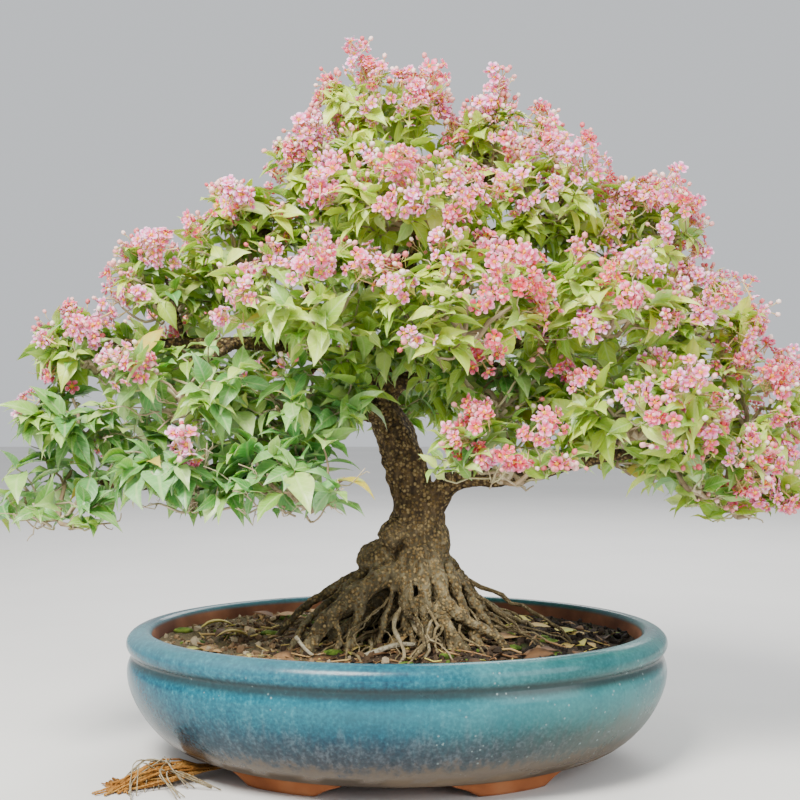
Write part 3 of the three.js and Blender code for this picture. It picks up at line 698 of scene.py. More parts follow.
def leaf_material():
    """Young leaves yellow green and old ones blue green, with a pale midrib and side veins."""
    made = Finish(
        "cherry_leaf", Specular_IOR_Level=0.5,
        Subsurface_Weight=0.30, Subsurface_Radius=(0.35, 0.6, 0.1), Subsurface_Scale=0.004,
    )
    along, across, _ = made.parts(made.out(made.add("ShaderNodeUVMap", {"uv_map": "blade"})))
    off_rib = made.math("ABSOLUTE", across - 0.5)
    veins = made.math("SINE", (along - off_rib * 0.55) * 46.0)
    lines = made.math("MAXIMUM", made.mask(off_rib, 0.075, 0.018), made.mask(veins, 0.55, 1.0) * 0.40)
    tint = made.attribute("tint")
    mottle = made.noise(made.place(), 95.0, 3.0)
    shade = tint * 0.55 + mottle * 0.45
    young = made.ramp(
        shade, (0.2, (0.24, 0.44, 0.014)), (0.5, (0.54, 0.71, 0.040)), (0.8, (0.80, 0.88, 0.17)),
    )
    old = made.ramp(
        shade, (0.2, (0.036, 0.17, 0.028)), (0.5, (0.11, 0.34, 0.085)), (0.8, (0.32, 0.58, 0.25)),
    )
    base = made.mix(made.attribute("age"), young, old)
    base = made.mix(lines * 0.32, base, (0.60, 0.70, 0.34))
    base = made.mix(made.mask(tint + mottle * 0.12, 1.015, 1.06), base, (0.52, 0.42, 0.05))
    made.join(made.ramp(mottle, (0.3, (0.30,) * 3), (0.7, (0.46,) * 3)), made.shader["Roughness"])
    return made.done(base, 1.0 - lines, 0.35, 0.0005)


def petal_material():
    """Pale lilac pink to coral petals, whiter at their fringed edge, round a yellow middle."""
    made = Finish(
        "cherry_petal", Specular_IOR_Level=0.3, Roughness=0.55,
        Subsurface_Weight=0.3, Subsurface_Radius=(0.9, 0.4, 0.45), Subsurface_Scale=0.003,
    )
    part = made.attribute("part")
    reach = made.attribute("reach")
    mottle = made.noise(made.place(), 420.0, 2.0)
    pale = made.ramp(
        reach, (0.18, (0.86, 0.32, 0.06)), (0.36, (0.80, 0.09, 0.24)), (0.62, (0.88, 0.23, 0.54)),
        (0.97, (1.0, 0.72, 0.90)),
    )
    # The deep colours are darker as well as redder: partly the flowers' own coral colour and partly painted
    # shade, as they are given most to the low and inner masses on the right.
    deep = made.ramp(
        reach, (0.18, (0.86, 0.25, 0.02)), (0.38, (0.70, 0.035, 0.04)), (0.68, (0.78, 0.06, 0.12)),
        (0.98, (0.92, 0.24, 0.30)),
    )
    base = made.mix(made.attribute("blush"), pale, deep)
    base = made.mix(made.mask(mottle, 0.58, 0.72) * 0.7, base, (1.0, 0.88, 0.93))
    base = made.mix(made.mask(part, 0.4, 0.6), base, (0.92, 0.46, 0.05))
    base = made.mix(made.mask(part, 1.4, 1.6), base, (0.60, 0.42, 0.17))
    return made.done(base, mottle, 0.3, 0.0004)


def bud_material():
    """Round buds from pale peach to deep pink, on olive stalks."""
    made = Finish("cherry_bud", Specular_IOR_Level=0.35, Roughness=0.5)
    mottle = made.noise(made.place(), 300.0, 2.0)
    ball = made.ramp(
        made.attribute("blush") * 0.6 + mottle * 0.4,
        (0.22, (0.94, 0.74, 0.64)), (0.44, (0.88, 0.44, 0.42)), (0.80, (0.66, 0.09, 0.12)),
    )
    base = made.mix(made.mask(made.attribute("part"), 0.5, 1.0), ball, (0.56, 0.44, 0.18))
    return made.done(base, mottle, 0.3, 0.0003)


def soil_material():
    """Dark damp mix with paler grit, darker to the right and paler to the left."""
    made = Finish("dark_soil", Specular_IOR_Level=0.2, Roughness=0.95)
    place = made.place()
    x, _, _ = made.parts(place)
    patches, grit = made.grain(place, 45.0, 480.0)
    base = made.ramp(
        patches, (0.32, (0.012, 0.008, 0.006)), (0.5, (0.045, 0.029, 0.019)), (0.68, (0.12, 0.075, 0.042)),
    )
    base = made.mix(made.mask(grit, 0.60, 0.68), base, (0.24, 0.17, 0.10))
    moss = made.mask(made.noise(place, 16.0, 4.0), 0.60, 0.68)
    base = made.mix(moss * 0.6, base, (0.07, 0.12, 0.02))
    base = made.mix(made.mask(x, 0.02, 0.15) * 0.6, base, (0.018, 0.013, 0.008))
    base = made.mix(made.mask(x, -0.04, -0.16) * 0.4, base, (0.17, 0.14, 0.07))
    return made.done(base, patches + grit, 0.9, 0.0022)


def crumb_material():
    """Grains from almost black through brown to straw, and a few of moss."""
    made = Finish("soil_crumb", Specular_IOR_Level=0.2, Roughness=0.92)
    patches, grit = made.grain(made.place(), 150.0, 900.0)
    base = made.ramp(
        made.attribute("tint"),
        (0.0, (0.012, 0.009, 0.007)), (0.35, (0.05, 0.031, 0.019)), (0.6, (0.13, 0.075, 0.038)),
        (0.8, (0.30, 0.19, 0.10)), (0.95, (0.42, 0.34, 0.22)), (1.0, (0.10, 0.17, 0.02)),
    )
    return made.done(made.mix(patches * 0.5, base, (0.02, 0.014, 0.01)), grit, 0.7, 0.0008)


def litter_material():
    """Dry leaves and straw, from brown to yellow green."""
    made = Finish("dry_litter", Specular_IOR_Level=0.3, Roughness=0.75)
    mottle = made.noise(made.place(), 130.0, 4.0)
    base = made.ramp(
        made.attribute("tint") * 0.75 + mottle * 0.25,
        (0.15, (0.05, 0.025, 0.012)), (0.38, (0.20, 0.10, 0.04)), (0.58, (0.42, 0.26, 0.11)),
        (0.75, (0.52, 0.45, 0.09)), (0.95, (0.22, 0.36, 0.05)),
    )
    return made.done(base, mottle, 0.5, 0.0008)


def moss_material():
    made = Finish("soil_moss", Specular_IOR_Level=0.2, Roughness=0.9)
    patches, grit = made.grain(made.place(), 110.0, 1100.0)
    base = made.ramp(
        patches, (0.32, (0.03, 0.055, 0.008)), (0.5, (0.10, 0.17, 0.02)), (0.68, (0.26, 0.34, 0.05)),
    )
    return made.done(base, grit, 1.0, 0.002)


def floor_material():
    made = Finish("studio_floor", Roughness=0.9, Specular_IOR_Level=0.2)
    mottle = made.noise(made.place(), 3.0, 3.0)
    return made.done(made.ramp(mottle, (0.3, (0.70, 0.69, 0.67)), (0.7, (0.74, 0.73, 0.71))))


# The shapes that repeat: one leaf, one flower, one bud, one crumb of soil


# How far along a finished row of a blade is moved, so that the next row is picked without it
ROW_AWAY = 10


def thin_sheet(name, rows, fold, thickness):
    """A closed thin blade along +X, modelled from a grid: rows of (place, half-width, lift), whose edges
    are higher than its middle line by fold times the half-width, so that it is folded."""
    bpy.ops.mesh.primitive_grid_add(x_subdivisions=len(rows) - 1, y_subdivisions=2, size=2)
    piece = begin(name)
    step = 2 / (len(rows) - 1)
    for k, (_, half_width, _) in enumerate(rows):
        select_points(piece, lambda co, x=-1 + k * step: abs(co.x - x) < 0.01)
        bpy.ops.transform.resize(value=(1, half_width, 1), center_override=(-1 + k * step, 0, 0))
    for k, (place, half_width, lift) in enumerate(rows):
        row = -1 + k * step
        offset = ROW_AWAY + place - row
        select_points(piece, lambda co, x=row: abs(co.x - x) < 0.01)
        bpy.ops.transform.translate(value=(offset, 0, lift))
        select_points(piece, lambda co, x=row: abs(co.x - x - offset) < 1e-4 and abs(co.y) > half_width / 2)
        bpy.ops.transform.translate(value=(0, 0, fold * half_width))
    select_all()
    bpy.ops.transform.translate(value=(-ROW_AWAY, 0, 0))
    bpy.ops.mesh.remove_doubles(threshold=0.004)
    leave_edit(piece)
    add_modifier(piece, "SOLIDIFY", thickness=thickness, offset=-1.0, use_rim=False)
    make_active(piece)
    bpy.ops.object.mode_set(mode="EDIT")
    bpy.ops.mesh.select_mode(type="VERT")
    bpy.ops.mesh.select_all(action="DESELECT")
    bpy.ops.mesh.select_non_manifold()
    bpy.ops.mesh.remove_doubles(threshold=thickness * 1.6)
    face_outward()
    leave_edit(piece)
    return piece


# A leaf's fold and thickness, and its outline along its length of 1: place, half-width and lift
LEAF_FOLD = 0.26
LEAF_THICKNESS = 0.014
SMALL_LEAF = [
    (-0.12, 0.012, 0.0), (0.05, 0.085, 0.0), (0.22, 0.225, 0.006), (0.44, 0.262, 0.008),
    (0.66, 0.185, 0.002), (0.85, 0.066, -0.012), (1.0, 0.0, -0.030),
]
LARGE_LEAF = [
    (-0.12, 0.012, 0.0), (0.02, 0.045, 0.0), (0.11, 0.155, 0.003), (0.25, 0.238, 0.007),
    (0.42, 0.265, 0.008), (0.59, 0.226, 0.004), (0.75, 0.138, -0.004), (0.88, 0.056, -0.014),
    (1.0, 0.0, -0.032),
]


def make_leaf(rows):
    piece = thin_sheet("leaf_pattern", rows, LEAF_FOLD, LEAF_THICKNESS)
    places = points_of(piece)
    widest = max(half_width for _, half_width, _ in rows)
    blade = np.stack([np.clip(places[:, 0], 0, 1), 0.5 + places[:, 1] / (2 * widest)], axis=1)
    return shape_of(piece, blade=blade)


def make_petal():
    """A spoon-shaped petal on a narrow claw along +X, cupped, and closed behind by one face."""
    bpy.ops.mesh.primitive_circle_add(vertices=8, radius=0.40, fill_type="NGON", location=(0.60, 0, 0))
    bpy.ops.object.transform_apply(location=True)
    petal = begin("petal_pattern")
    select_points(petal, lambda co: co.x < 0.25)
    bpy.ops.transform.translate(value=(-0.06, 0, -0.10))
    select_points(petal, lambda co: 0.25 < co.x < 0.42)
    bpy.ops.transform.resize(value=(1, 0.42, 1), center_override=(0.35, 0, 0))
    select_all()
    bpy.ops.transform.resize(value=(1, 0.92, 1), center_override=(0.60, 0, 0))
    bpy.ops.mesh.poke()
    select_points(petal, lambda co: abs(co.y) < 0.02 and 0.45 < co.x < 0.72)
    bpy.ops.transform.translate(value=(0.08, 0, -0.16))
    bpy.ops.mesh.select_all(action="DESELECT")
    bpy.ops.mesh.select_mode(type="EDGE")
    bpy.ops.mesh.select_non_manifold()
    bpy.ops.mesh.edge_face_add()
    face_outward()
    leave_edit(petal)
    return shape_of(petal)


def make_flower():
    """Five fringed petals round a raised middle, on a stalk that hangs below."""
    pattern = make_petal()
    ways = np.arange(5) * 2 * math.pi / 5 + np.array([0.0, 0.10, -0.08, 0.06, -0.05])
    petals = []
    for k, way in enumerate(ways):
        petal = Shape(pattern.points.copy(), pattern.corners, pattern.sizes)
        reach = np.clip(petal.points[:, 0], 0, 1)
        fringe = 0.08 * np.sin(np.arange(len(reach)) * 2.4 + k) * (reach > 0.5)
        petal.points[:, 2] += fringe + 0.20 * reach**2
        petal.points[:, :2] = petal.points[:, :2] @ np.array(
            [[math.cos(way), math.sin(way)], [-math.sin(way), math.cos(way)]]
        )
        petal.values = {"part": np.zeros(len(reach)), "reach": reach}
        petals.append(petal)
    bpy.ops.mesh.primitive_cone_add(vertices=4, radius1=0.31, radius2=0, depth=0.40, location=(0, 0, 0.06))
    bpy.ops.object.transform_apply(location=True)
    heart = shape_of(bpy.context.active_object)
    heart.values = {"part": np.ones(len(heart.points)), "reach": np.zeros(len(heart.points))}
    stalk = tube([(0, 0, -2.1), (0, 0, -0.05)], [0.06, 0.13], 3, part=2.0, reach=0.0)
    return together([*petals, heart, stalk])


def make_bud():
    bpy.ops.mesh.primitive_uv_sphere_add(segments=6, ring_count=3, radius=1)
    ball = shape_of(bpy.context.active_object)
    ball.points[:, 2] *= 1.15
    ball.values = {"part": np.zeros(len(ball.points))}
    stalk = tube([(0, 0, -5.6), (0.5, 0.2, -2.8), (0, 0, -0.8)], [0.15, 0.15, 0.28], 3, part=1.0)
    return together([ball, stalk])


def make_crumb():
    """An uneven grain of soil."""
    bpy.ops.mesh.primitive_ico_sphere_add(subdivisions=1, radius=1)
    grain = shape_of(bpy.context.active_object)
    grain.points += 0.20 * np.sin(4 * grain.points[:, [2, 0, 1]] + 1)
    return grain


# The pot


# How many sides an oval is first drawn with, before it is subdivided
POT_SEGMENTS = 80
SOIL_SEGMENTS = 60


def turned_oval(name, profile, segments):
    """An oval closed shape, drawn up ring by ring from its underside by (half-length, height)."""
    first_radius, first_height = profile[0]
    bpy.ops.mesh.primitive_circle_add(
        vertices=segments, radius=first_radius, fill_type="NGON", location=(0, 0, first_height)
    )
    bpy.ops.object.transform_apply(location=True)
    piece = begin(name)
    select_all()
    bpy.ops.mesh.flip_normals()
    bpy.ops.mesh.select_mode(type="EDGE")
    select_all()
    radius, height = first_radius, first_height
    for next_radius, next_height in profile[1:]:
        bpy.ops.mesh.extrude_edges_move(TRANSFORM_OT_translate={"value": (0, 0, next_height - height)})
        share = next_radius / radius
        bpy.ops.transform.resize(value=(share, share, 1), center_override=(0, 0, next_height))
        radius, height = next_radius, next_height
    bpy.ops.mesh.edge_face_add()
    face_outward()
    bpy.ops.transform.resize(value=(1, POT_DEPTH_SHARE, 1), center_override=(0, 0, 0))
    bpy.ops.transform.translate(value=tuple(POT_CENTRE))
    return leave_edit(piece)


# The pot's outline in mm, half-length and height: up the outside to the rim, and down the inside
POT_OUTSIDE = [
    (150, 12), (188, 12), (197, 13.2), (213, 18.8), (226, 27.5), (238, 39), (248.5, 54), (256, 70),
    (259.4, 84), (258.6, 94.5), (255.4, 100.6), (253.9, 103.6), (255.0, 105.5), (258.0, 108.4),
    (259.8, 113), (259.0, 118), (256, 122.2), (250, 125.8), (244, 127.2),
]
POT_INSIDE = [
    (238, 126.6), (234.6, 122), (233, 112), (230, 90), (222, 52), (208, 34), (188, 26), (120, 24),
]

# Half the distance between the drain holes, their radius, and a foot's angles round the oval
DRAIN_AWAY = 0.095
DRAIN_RADIUS = 0.014
FOOT_ANGLES = (285, 322)

# A foot in mm: its middle's place on the oval, half its width, its height up into the pot, and how far its
# hollow ends rise
FOOT_RING = 176.5
FOOT_HALF_WIDTH = 13.5
FOOT_TOP = 16.0
FOOT_END_RISE = 10.5


def make_foot(start, end):
    """A foot that follows the oval, with hollow ends, drawn out of a block."""
    bpy.ops.mesh.primitive_cube_add(size=2)
    foot = begin("foot")
    select_all()
    bpy.ops.mesh.subdivide(number_cuts=9)
    bpy.ops.object.mode_set(mode="OBJECT")
    places = points_of(foot)
    along = places[:, 0]
    ends = np.clip((np.abs(along) - 0.56) / 0.44, 0, 1)
    bottom = FOOT_END_RISE * np.sin(ends * math.pi / 2) ** 1.6
    share = (places[:, 2] + 1) / 2
    round_edge = 2.2 * np.clip(1 - share * 6, 0, 1) ** 2
    angle = np.radians(start + (end - start) * (along + 1) / 2)
    half = FOOT_HALF_WIDTH - round_edge * np.abs(places[:, 1]) + 2.0 * share
    ring = FOOT_RING + places[:, 1] * half
    height = bottom + (FOOT_TOP - bottom) * share
    places = np.stack([
        ring * np.cos(angle), ring * POT_DEPTH_SHARE * np.sin(angle), height,
    ], axis=1) * MM
    set_points(foot, places + POT_CENTRE)
    return foot


def drill_drain(pot, side):
    """One of the two drain holes through the pot's floor."""
    place = (POT_CENTRE[0] + side * DRAIN_AWAY, POT_CENTRE[1], 0.018)
    bpy.ops.mesh.primitive_cylinder_add(vertices=32, radius=DRAIN_RADIUS, depth=0.05, location=place)
    drill = bpy.context.active_object
    add_modifier(pot, "BOOLEAN", operation="DIFFERENCE", solver="EXACT", object=drill)
    bpy.data.objects.remove(drill)


def mark_clay(pot):
    """Marks where the pot has no glaze: under its belly, and inside below the rim."""
    places = points_of(pot) - POT_CENTRE
    outness = np.hypot(places[:, 0], places[:, 1] / POT_DEPTH_SHARE)
    height = places[:, 2]
    low = height < GLAZE_FROM + 0.0012 * np.sin(np.arctan2(places[:, 1], places[:, 0]) * 23)
    outside = np.array(POT_OUTSIDE) * MM
    wall = np.interp(height, outside[1:, 1], outside[1:, 0]) - 0.007
    inner = (outness < wall) & (height > GLAZE_FROM) & (height < 0.1225)
    for key, marked in (("bare", low | inner), ("inside", inner)):
        values = pot.data.attributes.new(key, "FLOAT", "POINT").data
        values.foreach_set("value", marked.astype(np.float32))


def make_pot(material):
    profile = [(radius * MM, height * MM) for radius, height in POT_OUTSIDE + POT_INSIDE]
    pot = turned_oval("oval_pot", profile, POT_SEGMENTS)
    add_modifier(pot, "SUBSURF", levels=1, render_levels=1)
    for side in (-1, 1):
        drill_drain(pot, side)
    start, end = FOOT_ANGLES
    mirrored = ((start, end), (540 - end, 540 - start), (start - 180, end - 180), (360 - end, 360 - start))
    feet = [make_foot(*angles) for angles in mirrored]
    join_to(pot, feet)
    mark_clay(pot)
    smooth(pot, POT_CREASE)
    return dress(pot, material, "glazed_pot", "pot")


# The soil and what lies on it


def soil_height(x, y):
    """Height of the soil at a place given from the pot's middle."""
    away = np.hypot(x - TRUNK_X, y - TRUNK_Y) / 0.110
    grit = 0.0016 * np.sin(x / 0.013 + 1) * np.cos(y / 0.011) + 0.0011 * np.sin(x / 0.029 + y / 0.017)
    return SOIL_EDGE + 0.009 * np.exp(-away**2) + grit


def make_soil(material):
    profile = [(0.180, 0.0275), (0.200, 0.034), (0.221, 0.052), (0.2285, 0.090), (SOIL_HALF_LENGTH, 0.1115)]
    profile += [(radius * MM, SOIL_EDGE) for radius in (226, 216, 204, 192, 179, 166)]
    profile += [(radius * MM, SOIL_EDGE) for radius in range(152, 11, -14)]
    soil = turned_oval("soil_bed", profile, SOIL_SEGMENTS)
    add_modifier(soil, "SUBSURF", levels=2, render_levels=2, subdivision_type="SIMPLE")
    places = points_of(soil)
    local = places - POT_CENTRE
    top = local[:, 2] > SOIL_EDGE - 0.0001
    outness = np.hypot(local[:, 0], local[:, 1] / POT_DEPTH_SHARE)
    inside = np.clip((SOIL_HALF_LENGTH - outness) / 0.006, 0, 1)
    rough = np.array([noise.fractal(Vector(place * 90), 0.7, 2.1, 5) for place in places])
    height = soil_height(local[:, 0], local[:, 1]) - SOIL_EDGE + 0.0022 * rough
    places[:, 2] += np.where(top, height * inside, 0)
    set_points(soil, places)
    smooth(soil)
    return dress(soil, material, "soil", "soil")


# How far to each side of the pot's middle spots on the soil are tried
SPOTS_X, SPOTS_Y = 0.226, 0.176


def spots_on_soil(count, random, margin, keep_off):
    """Places on the soil, from the pot's middle, off the rim by a margin and off the trunk's foot."""
    found = []
    while len(found) < count:
        x, y = random.uniform(-SPOTS_X, SPOTS_X), random.uniform(-SPOTS_Y, SPOTS_Y)
        is_in_pot = math.hypot(x, y / POT_DEPTH_SHARE) <= SOIL_HALF_LENGTH - margin
        if is_in_pot and math.hypot(x - TRUNK_X, y - TRUNK_Y) >= keep_off:
            found.append((x, y))
    return np.array(found)


def lie_on_soil(spots, lift):
    """Places in the frame, a little above the soil."""
    x, y = spots[:, 0], spots[:, 1]
    return np.stack([x, y, soil_height(x, y) + lift], axis=1) + POT_CENTRE


def make_crumbs(crumb, material):
    """Crumbs of soil, paler to the left."""
    random = draws("crumbs")
    spots = spots_on_soil(CRUMB_COUNT, random, 0.006, 0.034)
    sizes = random.lognormal(math.log(0.0016), 0.45, len(spots)).clip(0.0007, 0.0045)
    stretched = sizes[:, None] * random.uniform(0.6, 1.3, (len(spots), 3))
    turns = turns_up(random.normal(size=(len(spots), 3)), random)
    tint = np.clip(random.beta(1.6, 2.4, len(spots)) - 2.4 * spots[:, 0], 0, 0.95)
    tint[random.random(len(spots)) < 0.03] = 1.0
    crumbs = copies(crumb, turns, stretched, lie_on_soil(spots, sizes * 0.45), tint=tint)
    return dress(piece_of("soil_crumbs", crumbs, is_smooth=False), material, "soil")


def dry_leaves(leaf, random):
    """Dry leaves, each curled up or down."""
    spots = spots_on_soil(DRY_LEAF_COUNT, random, 0.030, 0.055)
    headings = random.uniform(0, 2 * math.pi, len(spots))
    ways = np.stack([np.cos(headings), np.sin(headings), random.normal(0, 0.12, len(spots))], axis=1)
    ups = UP + random.normal(0, 0.35, (len(spots), 3))
    curl = random.uniform(-0.7, 0.9, len(spots))[:, None]

    def bend(local):
        local[:, :, 2] += curl * (local[:, :, 0] * (1 - local[:, :, 0])) * 0.6
        return local

    sizes = random.uniform(0.012, 0.030, len(spots))
    tint = random.beta(1.5, 1.6, len(spots))
    return copies(leaf, turns_along(ways, ups), sizes, lie_on_soil(spots, 0.0025), bend, tint=tint)


def straws(random):
    """Bits of straw on some of the spots, more of them to the left."""
    found = []
    for x, y in spots_on_soil(STRAW_SPOTS, random, 0.024, 0.050):
        if x > random.uniform(-0.16, 0.36):
            continue
        heading, length = random.uniform(0, 2 * math.pi), random.uniform(0.008, 0.034)
        half = np.array([math.cos(heading), math.sin(heading)]) * length / 2
        ends = lie_on_soil(np.array([(x, y) - half, (x, y), (x, y) + half]), 0.0016)
        line, radius = ends + random.normal(0, 0.0012, (3, 3)), random.uniform(0.0004, 0.0011)
        straw = tube(line, radius, 4, tint=random.uniform(0.20, 0.82))
        straw.values["blade"] = np.zeros((len(straw.points), 2))
        found.append(straw)
    return found


def make_litter(leaf, material):
    """Dry leaves and straw on the soil."""
    random = draws("litter")
    litter = together([dry_leaves(leaf, random), *straws(random)])
    return dress(piece_of("leaf_litter", litter), material, "fallen_leaf")


def arched(local):
    """Leaves that arch up between stem and tip."""
    local[:, :, 2] += 0.16 * np.sin(local[:, :, 0] * 3.0)
    return local


def make_fallen_leaves(leaf, material):
    """The three fresh leaves that fell on the soil, each where its solid lies."""
    for number, (heading, tint) in enumerate(((12, 0.80), (200, 0.72), (70, 0.62)), 1):
        low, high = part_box(f"fallen_leaf_{number}")
        way = level_way(math.radians(heading), 0.05)
        length = 0.96 * math.hypot(high.x - low.x, high.y - low.y) / 1.1
        middle = np.array([(low.x + high.x) / 2, (low.y + high.y) / 2, low.z + 0.0022])
        turn, stem = turns_along([way], [[0, 0.1, 1]]), middle - way * length * 0.5
        shape = copies(leaf, turn, [length], [stem], arched, tint=[tint])
        piece = piece_of(f"dropped_leaf_{number}", shape)
        dress(piece, material, "fallen_leaf", f"fallen_leaf_{number}")


def make_moss(material):
    """Low cushions of moss against the roots and the rim."""
    random = draws("moss")
    cushions = []
    for x, y in spots_on_soil(MOSS_COUNT, random, 0.012, 0.05):
        bpy.ops.mesh.primitive_ico_sphere_add(subdivisions=3, radius=1)
        cushion = shape_of(bpy.context.active_object)
        away = np.array([x, y, 0]) * 900
        bumps = np.array([noise.noise(Vector(point * 3 + away)) for point in cushion.points])
        cushion.points *= (1 + 0.30 * bumps)[:, None]
        half = random.uniform(0.004, 0.011)
        cushion.points *= np.array([half, half * random.uniform(0.6, 1.0), 0.0030])
        cushion.points += lie_on_soil(np.array([(x, y)]), 0.0006)[0]
        cushions.append(cushion)
    return dress(piece_of("moss_cushions", together(cushions)), material, "soil")


# The tree


# How many points a root's line has, one that is drawn by rule and one whose points are listed
ROOT_POINTS = 14
FRONT_ROOT_POINTS = 16


def lumps(count, amount, pace, number):
    """How thick a root is along its length, a little different for each number."""
    return 1 + amount * np.sin(np.arange(count) * pace + number)


def root_line(random, number, start_height, reach, radius):
    """A root's line from the foot of the trunk down to the soil and on over it."""
    front = random.random() < 0.7
    angle = math.radians(random.uniform(145, 395) if front else random.uniform(0, 360))
    start_away = 0.027 + 0.006 * random.random() - 0.05 * max(0, start_height - 0.17)
    sway, fall = random.uniform(-0.35, 0.35), random.uniform(0.9, 1.8)
    points = []
    for t in np.linspace(0, 1, ROOT_POINTS):
        away = start_away + (reach - start_away) * t**0.9
        turn = angle + sway * t + 0.10 * math.sin(7 * t + number)
        x, y = TRUNK_X + away * math.cos(turn), TRUNK_Y + away * 0.95 * math.sin(turn)
        ground = soil_height(x, y) + radius * 0.6 - 0.010 * max(0, t - 0.85) / 0.15
        points.append((x, y, ground + max(0, start_height - ground) * (1 - t) ** fall))
    return np.array(points) + POT_CENTRE + random.normal(0, 0.0009, (ROOT_POINTS, 3))


# The roots that stand out in front of the foot, from the pot's middle in mm: radius, then places
FRONT_ROOTS = [
    (5.6, (8, -24, 200), (7, -36, 180), (8, -48, 154), (8, -58, 132), (6, -68, 110)),
    (6.6, (22, -24, 202), (24, -38, 180), (26, -50, 152), (28, -60, 132), (30, -72, 110)),
    (5.6, (37, -18, 198), (40, -32, 176), (43, -46, 150), (47, -60, 128), (52, -74, 109)),
    (4.6, (48, -10, 186), (58, -26, 160), (66, -46, 138), (76, -64, 120), (86, -76, 109)),
    (3.4, (0, -28, 186), (-6, -46, 158), (-12, -60, 136), (-18, -76, 110)),
    (9.0, (-2, -24, 186), (-24, -40, 171), (-46, -52, 158), (-66, -61, 140), (-79, -70, 120),
     (-86, -78, 106)),
    (4.8, (-24, -34, 172), (-33, -54, 150), (-40, -68, 130), (-45, -82, 108)),
    (5.4, (33, -42, 150), (46, -58, 134), (58, -71, 120), (71, -82, 108)),
    (4.2, (56, 2, 178), (75, -14, 148), (89, -34, 130), (104, -48, 110)),
    (4.4, (-34, -16, 178), (-58, -30, 158), (-83, -44, 138), (-100, -60, 110)),
    (3.0, (14, -44, 160), (12, -60, 138), (16, -74, 122), (26, -88, 109)),
    (3.2, (-60, -52, 146), (-52, -70, 128), (-58, -84, 109)),
]


def grown_roots():
    """The large roots that are grown into the foot of the trunk: first in front, then all round."""
    random = draws("trunk")
    roots = []
    count = FRONT_ROOT_POINTS
    for number, (radius, *places) in enumerate(FRONT_ROOTS):
        line = resample(np.array(places) * MM, count) + POT_CENTRE + random.normal(0, 0.0006, (count, 3))
        radii = radius * MM * np.linspace(1.2, 0.75, count) * lumps(count, 0.14, 1.7, number)
        roots.append(tube(line, radii, 10))
    for number in range(GROWN_ROOT_COUNT):
        radius = random.choice([0.0028, 0.0038, 0.0050, 0.0062], p=[0.35, 0.3, 0.2, 0.15])
        line = root_line(random, number, random.uniform(0.135, 0.205), random.uniform(0.060, 0.135), radius)
        radii = radius * np.linspace(1.3, 0.6, ROOT_POINTS) * lumps(ROOT_POINTS, 0.16, 1.9, number)
        roots.append(tube(line, radii, 8))
    return piece_of("grown_roots", together(roots))


# The grid that joins the trunk and its roots, and the share of its faces that is kept in the end
WOOD_GRID = 0.0019
WOOD_FACES_KEPT = 0.50


def bark_relief(places):
    """How far the bark stands out at each place: lumps and flakes, and flutes round the foot."""
    local = places - TRUNK_FOOT
    away = np.hypot(local[:, 0], local[:, 1])
    relief = np.zeros(len(places))
    for k, place in enumerate(places):
        coarse = noise.fractal(Vector(place) * 55, 0.8, 2.0, 3)
        stretched = Vector((place[0] * 130, place[1] * 130, place[2] * 60))
        flakes = noise.ridged_multi_fractal(stretched, 0.9, 2.1, 3, 1.0, 2.0)
        relief[k] = 0.0018 * coarse + 0.0012 * (flakes - 1.0)
    low = np.clip((0.235 - local[:, 2]) / 0.09, 0, 1) * np.clip(1.6 - away / 0.05, 0, 1)
    angle = np.arctan2(local[:, 1], local[:, 0])
    flutes = 0.0018 * np.sin(angle * 11 + 2.5 * np.sin(local[:, 2] * 45)) * low
    thick = np.clip(1.15 - np.hypot(local[:, 0] * 0.9, local[:, 1] * 0.8) / 0.20, 0.22, 1)
    thick *= np.clip(1.3 - (local[:, 2] - 0.20) / 0.30, 0.3, 1)
    return (relief + flutes) * thick


def make_trunk(material):
    """The wood of the tree, from its solid, with more roots grown into it and bark relief."""
    wood = new_object("tree_wood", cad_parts["trunk"].data.copy())
    make_active(wood)
    bpy.ops.object.mode_set(mode="EDIT")
    select_all()
    bpy.ops.mesh.remove_doubles(threshold=0.00001)
    leave_edit(wood)
    join_to(wood, [grown_roots()])
    add_modifier(wood, "REMESH", mode="VOXEL", voxel_size=WOOD_GRID)
    add_modifier(wood, "SMOOTH", factor=0.5, iterations=4)
    places = points_of(wood)
    normals = triples_of(wood.data.vertex_normals, "vector")
    set_points(wood, places + normals * bark_relief(places)[:, None])
    add_modifier(wood, "DECIMATE", ratio=WOOD_FACES_KEPT)
    smooth(wood)
    return dress(wood, material, "bark", "trunk")


# Dead pale roots that lie across the others, in mm: radius, then places
LOOSE_ROOTS = [
    (2.5, (-32, -96, 113.5), (-16, -92, 119), (2, -88, 123.5), (17, -84, 123)),
    (1.8, (-92, -74, 128), (-84, -84, 120), (-74, -92, 113)),
]


def make_surface_roots(material):
    """Thin roots that run down the foot of the trunk and over the soil, between the large ones."""
    random = draws("surface_roots")
    strands = []
    for number in range(SURFACE_ROOT_COUNT):
        radius = random.choice([0.0008, 0.0012, 0.0017, 0.0024], p=[0.3, 0.34, 0.22, 0.14])
        line = root_line(random, number, random.uniform(0.122, 0.180), random.uniform(0.060, 0.165), radius)
        kinks = random.normal(0, 0.0009, (ROOT_POINTS, 3))
        radii = radius * np.linspace(1.25, 0.6, ROOT_POINTS) * lumps(ROOT_POINTS, 0.18, 2.3, number)
        strands.append(tube(line + kinks, radii, 6, tint=random.uniform(0.10, 0.80), fibre=0.0))
    for radius, *places in LOOSE_ROOTS:
        line = resample(np.array(places) * MM, 12) + POT_CENTRE
        strands.append(tube(line, radius * MM * np.linspace(1.1, 0.8, 12), 8, tint=1.25, fibre=0.0))
    return dress(piece_of("surface_roots", together(strands)), material, "root")


